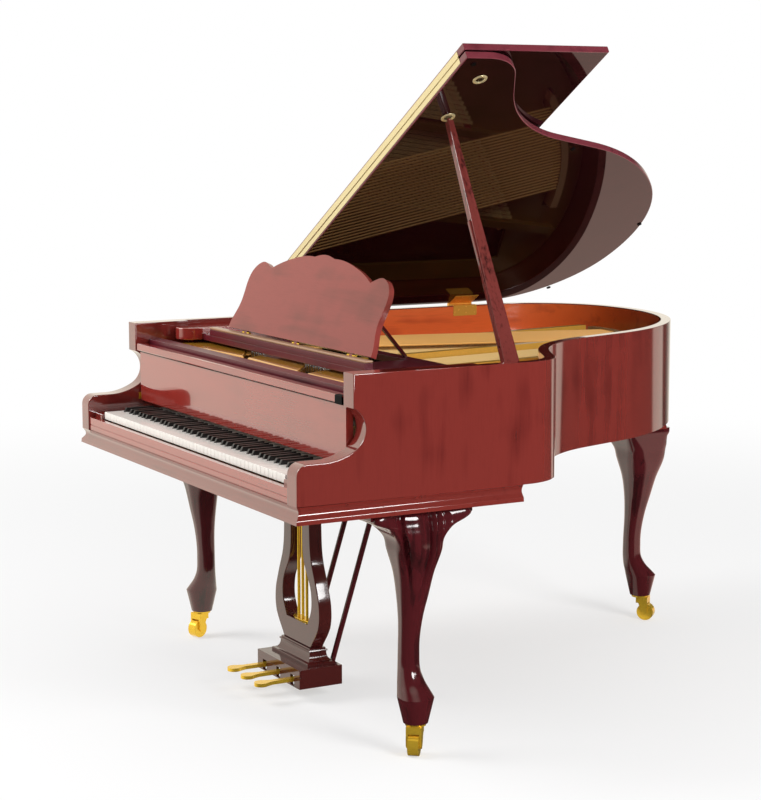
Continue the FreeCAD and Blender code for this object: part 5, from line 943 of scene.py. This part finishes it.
class PIANO_OT_strings(bpy.types.Operator):
    """Wires, tuning pins with coils, hitch pins and the felt strip behind the treble bridge"""
    bl_idname = "piano.strings"
    bl_label = "Strings"

    def execute(self, context):
        treble, treble_pins = wires(*treble_lines(TREBLE_BEYOND), TREBLE_LEVEL, TREBLE_GAP, TREBLE_WIRES,
                                    TREBLE_RADIUS)
        piece("treble_wires", treble, "wire", "case", ["treble_strings"])
        bass, bass_pins = wires(*bass_lines(BASS_INSET), BASS_LEVEL, 0.0, 1, BASS_RADIUS)
        piece("bass_wires", bass, "copper", "case", ["bass_strings"])
        # Pin as (radius, height over the plate): shank, coil of wire, shank and tapered head.
        section = np.array([[0.0034, 0.0], [0.0034, 0.006], [0.0047, 0.007], [0.0047, 0.0125],
                            [0.0034, 0.0135], [0.0034, 0.024], [0.0030, 0.033], [0.0024, 0.0339]])
        pin = revolve(section, (0.0, 0.0, 0.0), 10)
        pins = copies(pin, np.concatenate([treble_pins, bass_pins]))
        piece("coiled_tuning_pins", pins, "steel", "case", ["tuning_pins"])
        hitch = revolve(np.array([[0.0018, 0.0], [0.0018, 0.010], [0.0012, 0.011]]), (0.0, 0.0, 0.0), 8)
        _, treble_ends = treble_lines(TREBLE_BEYOND + HITCH_GAP)
        _, bass_ends = bass_lines(BASS_INSET - HITCH_GAP)
        rises = np.concatenate([np.zeros(len(treble_ends)), np.full(len(bass_ends), BASS_HITCH_RISE)])
        ends = np.concatenate([treble_ends, bass_ends])
        spots = np.concatenate([ends, (rises + PLATE_TOP)[:, None]], axis=1)
        piece("hitch_pins", copies(hitch, spots), "steel", "case")
        _, near = treble_lines(FELT_NEAR)
        _, far = treble_lines(FELT_FAR)
        low = np.full((len(near), 1), TREBLE_LEVEL - FELT_LOW)
        high = np.full((len(near), 1), TREBLE_LEVEL - FELT_HIGH)
        rows = [np.concatenate([spot, level], axis=1) for spot, level in
                ((near, low), (near, high), (far, high), (far, low))]
        felt = patch(np.stack(rows, axis=1), closed_columns=True, caps=True)
        piece("string_felt", felt, "felt", "case")
        return {"FINISHED"}


def round_ended(x0, x1, front, back, nose):
    """Outline of a shelf: half an ellipse at the front, square at the back."""
    turn = np.linspace(0.0, math.pi, 40)
    middle, half = (x0 + x1) / 2, (x1 - x0) / 2
    curve = np.stack([middle - half * np.cos(turn), front + nose * (1 - np.sin(turn))], axis=1)
    return np.concatenate([curve, [[x1, back], [x0, back]]])


class PIANO_OT_tray(bpy.types.Operator):
    """Music tray: round-ended side shelves, frame and the ledge under the desk"""
    bl_idname = "piano.tray"
    bl_label = "Music tray"

    def execute(self, context):
        outer, inner, opening = 0.668, 0.578, 0.300
        ledge_left, ledge_right = -0.525, 0.455
        low, high, ledge_foot, shelf_high, ledge_high = 0.950, 0.968, 0.986, 0.986, 0.993
        front, ledge_back, rail_back, bar_front, back = 0.336, 0.360, 0.382, 0.548, 0.590
        shelf_front, shelf_nose, shelf_round = 0.270, 0.048, 0.003
        shelves = [panel(round_ended(x0, x1, shelf_front, back, shelf_nose), low, shelf_high, shelf_round)
                   for x0, x1 in ((-outer, -inner), (inner, outer))]
        piece("tray_shelves", joined(shelves), "case_long", "tray", ["desk_tray"])
        frame_boards = [block(-inner, inner, front, rail_back, low, high),
                        block(-inner, inner, bar_front, back, low, high),
                        block(-inner, -opening, rail_back, bar_front, low, high),
                        block(opening, inner, rail_back, bar_front, low, high)]
        frame_boards.append(block(ledge_left, ledge_right, front, ledge_back, high, ledge_foot))
        piece("tray_frame", joined(frame_boards), "tray", "tray")
        ledge = block(ledge_left, ledge_right, front, ledge_back, ledge_foot, ledge_high, shelf_round)
        piece("music_ledge_strip", ledge, "ledge", "tray")
        return {"FINISHED"}


# Nosing on the fallboard as (piece, x, y and z ranges, rounding, finish, slot), in metres.
NOSING_HALF = 0.667
NOSING_PIECES = (
    ("fallboard_nosing", (-NOSING_HALF, NOSING_HALF, 0.1575, 0.1695, 0.9175, 0.9385), 0.004, "case_long",
     "mahogany"),
    # The strip under the nosing is matt black as painted shadow.
    ("nosing_painted_shadow_strip", (-NOSING_HALF, NOSING_HALF, 0.1665, 0.1690, 0.9135, 0.9175), 0.0004, "rubber", "rubber"),
    # A matt black block at the nosing's right end.
    ("nosing_end_black_block", (0.630, NOSING_HALF, 0.1560, 0.1710, 0.9155, 0.9395), 0.003, "rubber", "rubber"),
)


class PIANO_OT_nosing(bpy.types.Operator):
    """Rounded nosing along the fallboard's top, a black strip under it as painted shadow and a black block at
    its right end
    """
    bl_idname = "piano.nosing"
    bl_label = "Fallboard nosing"

    def execute(self, context):
        for name, ranges, radius, finish, slot in NOSING_PIECES:
            piece(name, block(*ranges, radius), finish, "fallboard")
        return {"FINISHED"}


# Corners in plan of the raised webs at the plate's front, from bass to treble.
WEB_CORNERS = (((-0.600, 0.262), (-0.195, 0.294), (-0.359, 0.385), (-0.461, 0.402), (-0.600, 0.402)),
               ((-0.165, 0.292), (0.181, 0.279), (0.090, 0.350), (0.016, 0.388), (-0.207, 0.387)),
               ((0.235, 0.279), (0.520, 0.280), (0.440, 0.350), (0.360, 0.388), (0.187, 0.386)),
               ((0.575, 0.280), (0.655, 0.280), (0.655, 0.388), (0.530, 0.386)))
WEB_LOW = PLATE_TOP - 0.0005
WEB_TOP = 0.941
WEB_ROUND = 0.007


class PIANO_OT_plate_webs(bpy.types.Operator):
    """Raised gold webs that cover the front of the pin field"""
    bl_idname = "piano.plate_webs"
    bl_label = "Plate webs"

    def execute(self, context):
        webs = [panel(np.array(corners), WEB_LOW, WEB_TOP, WEB_ROUND) for corners in WEB_CORNERS]
        piece("plate_webs", joined(webs), "web", "case")
        return {"FINISHED"}


class PIANO_OT_lyre(bpy.types.Operator):
    """Pedal lyre with its cap, and the guide plate for the rods"""
    bl_idname = "piano.lyre"
    bl_label = "Pedal lyre"

    def execute(self, context):
        low, high = 0.1366, 0.594
        front, back = 0.362, 0.402
        share = np.linspace(LYRE_SPLIT, 1.0, 90)
        outer = blend_curve(LYRE_OUTER[:, 0], LYRE_OUTER[:, 1], share)
        inner = blend_curve(LYRE_INNER[:, 0], LYRE_INNER[:, 1], share)
        inset, rise = round_steps(LYRE_ROUND)
        depth = np.concatenate([front + inset, back - inset[::-1], back - inset, front + inset[::-1]])
        trim = np.concatenate([LYRE_ROUND - rise, LYRE_ROUND - rise[::-1], rise - LYRE_ROUND,
                               rise[::-1] - LYRE_ROUND])
        count = len(inset)
        is_outer = np.repeat([1.0, 0.0], 2 * count)
        edge = outer * is_outer + inner * (1 - is_outer) - trim
        level = np.broadcast_to(low + (high - low) * share[:, None], edge.shape)
        right = np.stack([edge, np.broadcast_to(depth, edge.shape), level], axis=2)
        left = right * np.array([-1.0, 1.0, 1.0])
        share = np.linspace(0.0, LYRE_SPLIT, 24)
        half = blend_curve(LYRE_OUTER[:, 0], LYRE_OUTER[:, 1], share)[:, 0]
        level = low + (high - low) * share
        outline = np.concatenate([np.stack([half, level], axis=1), np.stack([-half, level], axis=1)[::-1]])
        keep = (np.abs(outline[:, 1] - level[-1]) > 1e-6).astype(float)
        foot = swapped(panel(outline, front, back, LYRE_ROUND, keep), [0, 2, 1])
        cap_half, cap_edge, cap_round = 0.098, 0.006, 0.004
        cap = block(-cap_half, cap_half, front - cap_edge, back + cap_edge, high, KEY_BED_LOW, cap_round)
        sides = [patch(side, closed_columns=True, caps=True) for side in (right, left)]
        piece("lyre_frame_board", joined([*sides, foot, cap]), "lyre", "case", ["lyre_frame"])
        turn = np.linspace(0.0, TURN, 48, endpoint=False)
        guide = np.stack([GUIDE_HALF[0] * np.cos(turn), ROD_LINE + GUIDE_HALF[1] * np.sin(turn)], axis=1)
        floor = low + (high - low) * LYRE_SPLIT
        plate = panel(guide, floor, floor + GUIDE_THICKNESS, 0.001)
        piece("rod_guide_plate", plate, "brass", "case")
        return {"FINISHED"}


class PIANO_OT_pedal_box(bpy.types.Operator):
    """Pedal box with slots in its front and a coved plinth on top"""
    bl_idname = "piano.pedal_box"
    bl_label = "Pedal box"

    def execute(self, context):
        front, back, half, low, high = 0.302, 0.436, 0.135, 0.037, 0.092
        wall = 0.009
        sill, lintel = 0.040, 0.070
        posts = [-half, -0.101, -0.077, -0.012, 0.012, 0.077, 0.101, half]
        inside = front + wall
        boards = [(left, right, front, inside, sill, lintel)
                  for left, right in zip(posts[::2], posts[1::2])]
        boards += [(-half, half, front, inside, low, sill),
                   (-half, half, front, inside, lintel, high),
                   (-half, -half + wall, inside, back, low, high),
                   (half - wall, half, inside, back, low, high),
                   (-half + wall, half - wall, back - wall, back, low, high),
                   (-half + wall, half - wall, inside, back - wall, high - wall, high)]
        shapes = [block(*board, BOX_ROUND) for board in boards]
        turn = np.linspace(0.0, QUARTER, 20)
        cove = np.stack([0.026 - 0.018 * np.sin(turn), 0.100 + 0.024 * (1 - np.cos(turn))], axis=1)
        lip = np.array([[0.030, high], [0.030, 0.0985], [0.0285, 0.100]])
        bead = np.array([[0.008, 0.1265], [0.0105, 0.1272], [0.0115, 0.1295], [0.0105, 0.1318],
                         [0.006, 0.1325], [0.006, 0.1366]])
        # Plinth's section as (outset, height), carried round a rectangle.
        section = np.concatenate([lip, cove, bead])
        corners = np.array([[1.0, -1.0], [1.0, 1.0], [-1.0, 1.0], [-1.0, -1.0]])
        base = np.array([0.084, 0.020]) * corners + np.array([0.0, ROD_LINE])
        spread = section[:, :1][:, None] * corners[None] * np.array([1.0, 0.8])
        heights = np.broadcast_to(section[:, 1][:, None, None], (len(section), 4, 1))
        plinth = patch(np.concatenate([base[None] + spread, heights], axis=2), closed_columns=True, caps=True)
        piece("pedal_box_coved", joined(shapes + [plinth]), "lyre", "case", ["pedal_box"],
              BOX_SHARP)
        return {"FINISHED"}


# Faintly warm white of the studio's walls, as linear red, green and blue.
WARM_WALL = (1.0, 0.93, 0.80)
# Painted light on the floor just beyond the tail, as the lid shows it: a lit patch that only mirrors see.
TAIL_FLOOR_PAINTED_LIGHT = (0.95, 0.62, 0.53, 1.0)
# Plan directions of the white wall at the keyboard and of the light strip at the tail.
WALL_HEADING = (-0.94, -0.342, 0.0)
STRIP_HEADING = (-0.259, 0.966, 0.0)


def studio_tone(tree, direction):
    """Brightness of the studio in a mirror: white at the keyboard and overhead, a strip at the tail side."""
    facing = put(tree, "ShaderNodeVectorMath", {0: direction, 1: WALL_HEADING}, operation="DOT_PRODUCT")
    wide = put(tree, "ShaderNodeMapRange", {"Value": facing.outputs["Value"], "From Min": 0.1,
                                            "From Max": 0.5, "To Min": 0.04, "To Max": 1.0},
               interpolation_type="SMOOTHSTEP")
    tail = put(tree, "ShaderNodeVectorMath", {0: direction, 1: STRIP_HEADING}, operation="DOT_PRODUCT")
    strip = put(tree, "ShaderNodeMapRange", {"Value": tail.outputs["Value"], "From Min": 0.9885,
                                             "From Max": 0.996, "To Max": 0.6},
                interpolation_type="SMOOTHSTEP")
    above = put(tree, "ShaderNodeSeparateXYZ", {0: direction})
    overhead = put(tree, "ShaderNodeMapRange", {"Value": above.outputs["Z"], "From Min": 0.86,
                                                "From Max": 0.97, "To Max": 0.9},
                   interpolation_type="SMOOTHSTEP")
    sides = put(tree, "ShaderNodeMath", {0: wide.outputs[0], 1: strip.outputs[0]}, operation="MAXIMUM")
    bright = put(tree, "ShaderNodeMath", {0: sides.outputs[0], 1: overhead.outputs[0]}, operation="MAXIMUM")
    warm = put(tree, "ShaderNodeVectorMath", {0: WARM_WALL, "Scale": bright.outputs[0]}, operation="SCALE")
    return warm.outputs[0]


def floor_material():
    """Floor: matt near the piano to take its shadow, white further out, the studio's tone in mirrors with
    painted light just beyond the tail.
    """
    made, tree, out = blank_material("pale_floor")
    path = put(tree, "ShaderNodeLightPath")
    place = put(tree, "ShaderNodeTexCoord")
    level = put(tree, "ShaderNodeVectorMath", {0: place.outputs["Object"], 1: (1.0, 1.0, 0.0)},
                operation="MULTIPLY")
    heading = put(tree, "ShaderNodeVectorMath", {0: level.outputs[0]}, operation="NORMALIZE")
    away = put(tree, "ShaderNodeVectorMath", {0: level.outputs[0]}, operation="LENGTH")
    # Metres from the middle: the white gathers from 1.6 to 5.5, and the painted lit patch seen in mirrors
    # ends at 3.4.
    white = put(tree, "ShaderNodeMapRange", {"Value": away.outputs["Value"], "From Min": 1.6,
                                             "From Max": 5.5, "To Min": 0.55, "To Max": 1.0},
                interpolation_type="SMOOTHSTEP")
    shown = put(tree, "ShaderNodeMath", {0: white.outputs[0], 1: path.outputs["Is Camera Ray"]},
                operation="MULTIPLY")
    studio = studio_tone(tree, heading.outputs[0])
    near = put(tree, "ShaderNodeMapRange", {"Value": away.outputs["Value"], "From Min": 2.6,
                                            "From Max": 3.4, "To Min": 1.0, "To Max": 0.0})
    axes = put(tree, "ShaderNodeSeparateXYZ", {0: place.outputs["Object"]})
    behind = put(tree, "ShaderNodeMapRange", {"Value": axes.outputs["Y"], "From Min": 0.9, "From Max": 1.2})
    share = put(tree, "ShaderNodeMath", {0: near.outputs[0], 1: behind.outputs[0]}, operation="MULTIPLY")
    mirrored = put(tree, "ShaderNodeMix", {0: share.outputs[0], 6: studio, 7: TAIL_FLOOR_PAINTED_LIGHT}, data_type="RGBA")
    tone = put(tree, "ShaderNodeMix", {0: path.outputs["Is Glossy Ray"], 6: (1, 1, 1, 1),
                                       7: mirrored.outputs[2]}, data_type="RGBA")
    glow = put(tree, "ShaderNodeEmission", {"Color": tone.outputs[2], "Strength": 1.0})
    matt = put(tree, "ShaderNodeBsdfDiffuse", {"Color": linear("F2F2F2")})
    lit = put(tree, "ShaderNodeMath", {0: shown.outputs[0], 1: path.outputs["Is Glossy Ray"]},
              operation="MAXIMUM")
    blend = put(tree, "ShaderNodeMixShader", {0: lit.outputs[0], 1: matt.outputs[0], 2: glow.outputs[0]})
    tree.links.new(blend.outputs[0], out.inputs[0])
    return made


def studio_world():
    """World: white to the camera, dimmer as light on the piano, the studio's tone in mirrors."""
    world = bpy.data.worlds.new("studio")
    world.use_nodes = True
    tree = world.node_tree
    tree.nodes.clear()
    path = put(tree, "ShaderNodeLightPath")
    place = put(tree, "ShaderNodeTexCoord")
    mirrored = studio_tone(tree, place.outputs["Generated"])
    seen = put(tree, "ShaderNodeMath", {0: path.outputs["Is Camera Ray"],
                                        1: path.outputs["Is Transmission Ray"]}, operation="MAXIMUM")
    plain = put(tree, "ShaderNodeMapRange", {"Value": seen.outputs[0], "To Min": 0.6, "To Max": 1.0})
    tone = put(tree, "ShaderNodeMix", {0: path.outputs["Is Glossy Ray"], 6: plain.outputs[0],
                                       7: mirrored}, data_type="RGBA")
    back = put(tree, "ShaderNodeBackground", {"Color": tone.outputs[2], "Strength": 1.0})
    put(tree, "ShaderNodeOutputWorld", {"Surface": back.outputs[0]})
    return world


# Lamps as (name, place, aim, disk size, power) and the floor's reach, in metres and watts.
LAMPS = (("key_lamp", (-2.2, -3.8, 3.8), (0.0, 0.0, 0.8), 2.6, 150.0),
         ("side_lamp", (4.6, 1.0, 2.8), (0.0, 0.2, 0.9), 2.0, 150.0))
FLOOR_REACH = 30.0

# Camera on the drawing's axes: place in metres, tilt and turn in radians, lens and sensor in millimetres.
CAMERA_PLACE = np.array([4.9179, -2.0903, 1.6038])
CAMERA_TILT = 0.13944
CAMERA_TURN = 1.06481
LENS_MM = 88.9
SENSOR_MM = 36.0


class PIANO_OT_stage(bpy.types.Operator):
    """Pale floor, white surroundings, soft lamps and the camera"""
    bl_idname = "piano.stage"
    bl_label = "Stage"

    def execute(self, context):
        scene = context.scene
        scene.view_settings.view_transform = "Standard"
        mesh = bpy.data.meshes.new("floor")
        corners = FLOOR_REACH * np.array([[-1, -1, 0], [1, -1, 0], [1, 1, 0], [-1, 1, 0]])
        mesh.from_pydata(corners.tolist(), [], [(0, 1, 2, 3)])
        mesh.materials.append(floor_material())
        floor = bpy.data.objects.new("floor", mesh)
        scene.collection.objects.link(floor)
        scene.world = studio_world()
        for name, place, aim, size, power in LAMPS:
            lamp = bpy.data.lights.new(name, "AREA")
            lamp.shape = "DISK"
            lamp.size = size
            lamp.energy = power
            held = bpy.data.objects.new(name, lamp)
            held.location = place
            held.rotation_euler = (Vector(aim) - Vector(place)).to_track_quat("-Z", "Y").to_euler()
            scene.collection.objects.link(held)
        lens = bpy.data.cameras.new("camera")
        lens.sensor_width = SENSOR_MM
        lens.lens = LENS_MM
        camera = bpy.data.objects.new("camera", lens)
        camera.location = CAMERA_PLACE + SHIFT
        camera.rotation_euler = (QUARTER - CAMERA_TILT, 0.0, CAMERA_TURN)
        scene.collection.objects.link(camera)
        scene.camera = camera
        return {"FINISHED"}


class PIANO_PT_sidebar(bpy.types.Panel):
    """Sizes, colours and pieces of the piano"""
    bl_idname = "PIANO_PT_sidebar"
    bl_label = "Piano"
    bl_space_type = "VIEW_3D"
    bl_region_type = "UI"
    bl_category = "Piano"

    def draw(self, context):
        for group in (context.scene.piano_sizes, context.scene.piano_colours):
            for name in group.__annotations__:
                self.layout.prop(group, name)
        for step in STEPS:
            self.layout.operator(step.bl_idname)


STEPS = (PIANO_OT_frame_finishes, PIANO_OT_case, PIANO_OT_mouldings, PIANO_OT_lid, PIANO_OT_legs,
         PIANO_OT_strings, PIANO_OT_plate_webs, PIANO_OT_tray, PIANO_OT_nosing, PIANO_OT_lyre,
         PIANO_OT_pedal_box, PIANO_OT_stage)
CLASSES = (PianoSizes, PianoColours, *STEPS, PIANO_PT_sidebar)


def register():
    """Register the classes and the scene's settings."""
    for one in CLASSES:
        bpy.utils.register_class(one)
    bpy.types.Scene.piano_sizes = PointerProperty(type=PianoSizes)
    bpy.types.Scene.piano_colours = PointerProperty(type=PianoColours)


def unregister():
    """Remove the settings and the classes."""
    del bpy.types.Scene.piano_colours
    del bpy.types.Scene.piano_sizes
    for one in reversed(CLASSES):
        bpy.utils.unregister_class(one)


def main():
    """Build every piece in order."""
    register()
    for step in STEPS:
        area, action = step.bl_idname.split(".")
        getattr(getattr(bpy.ops, area), action)()
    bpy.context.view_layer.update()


if __name__ == "__main__":
    main()
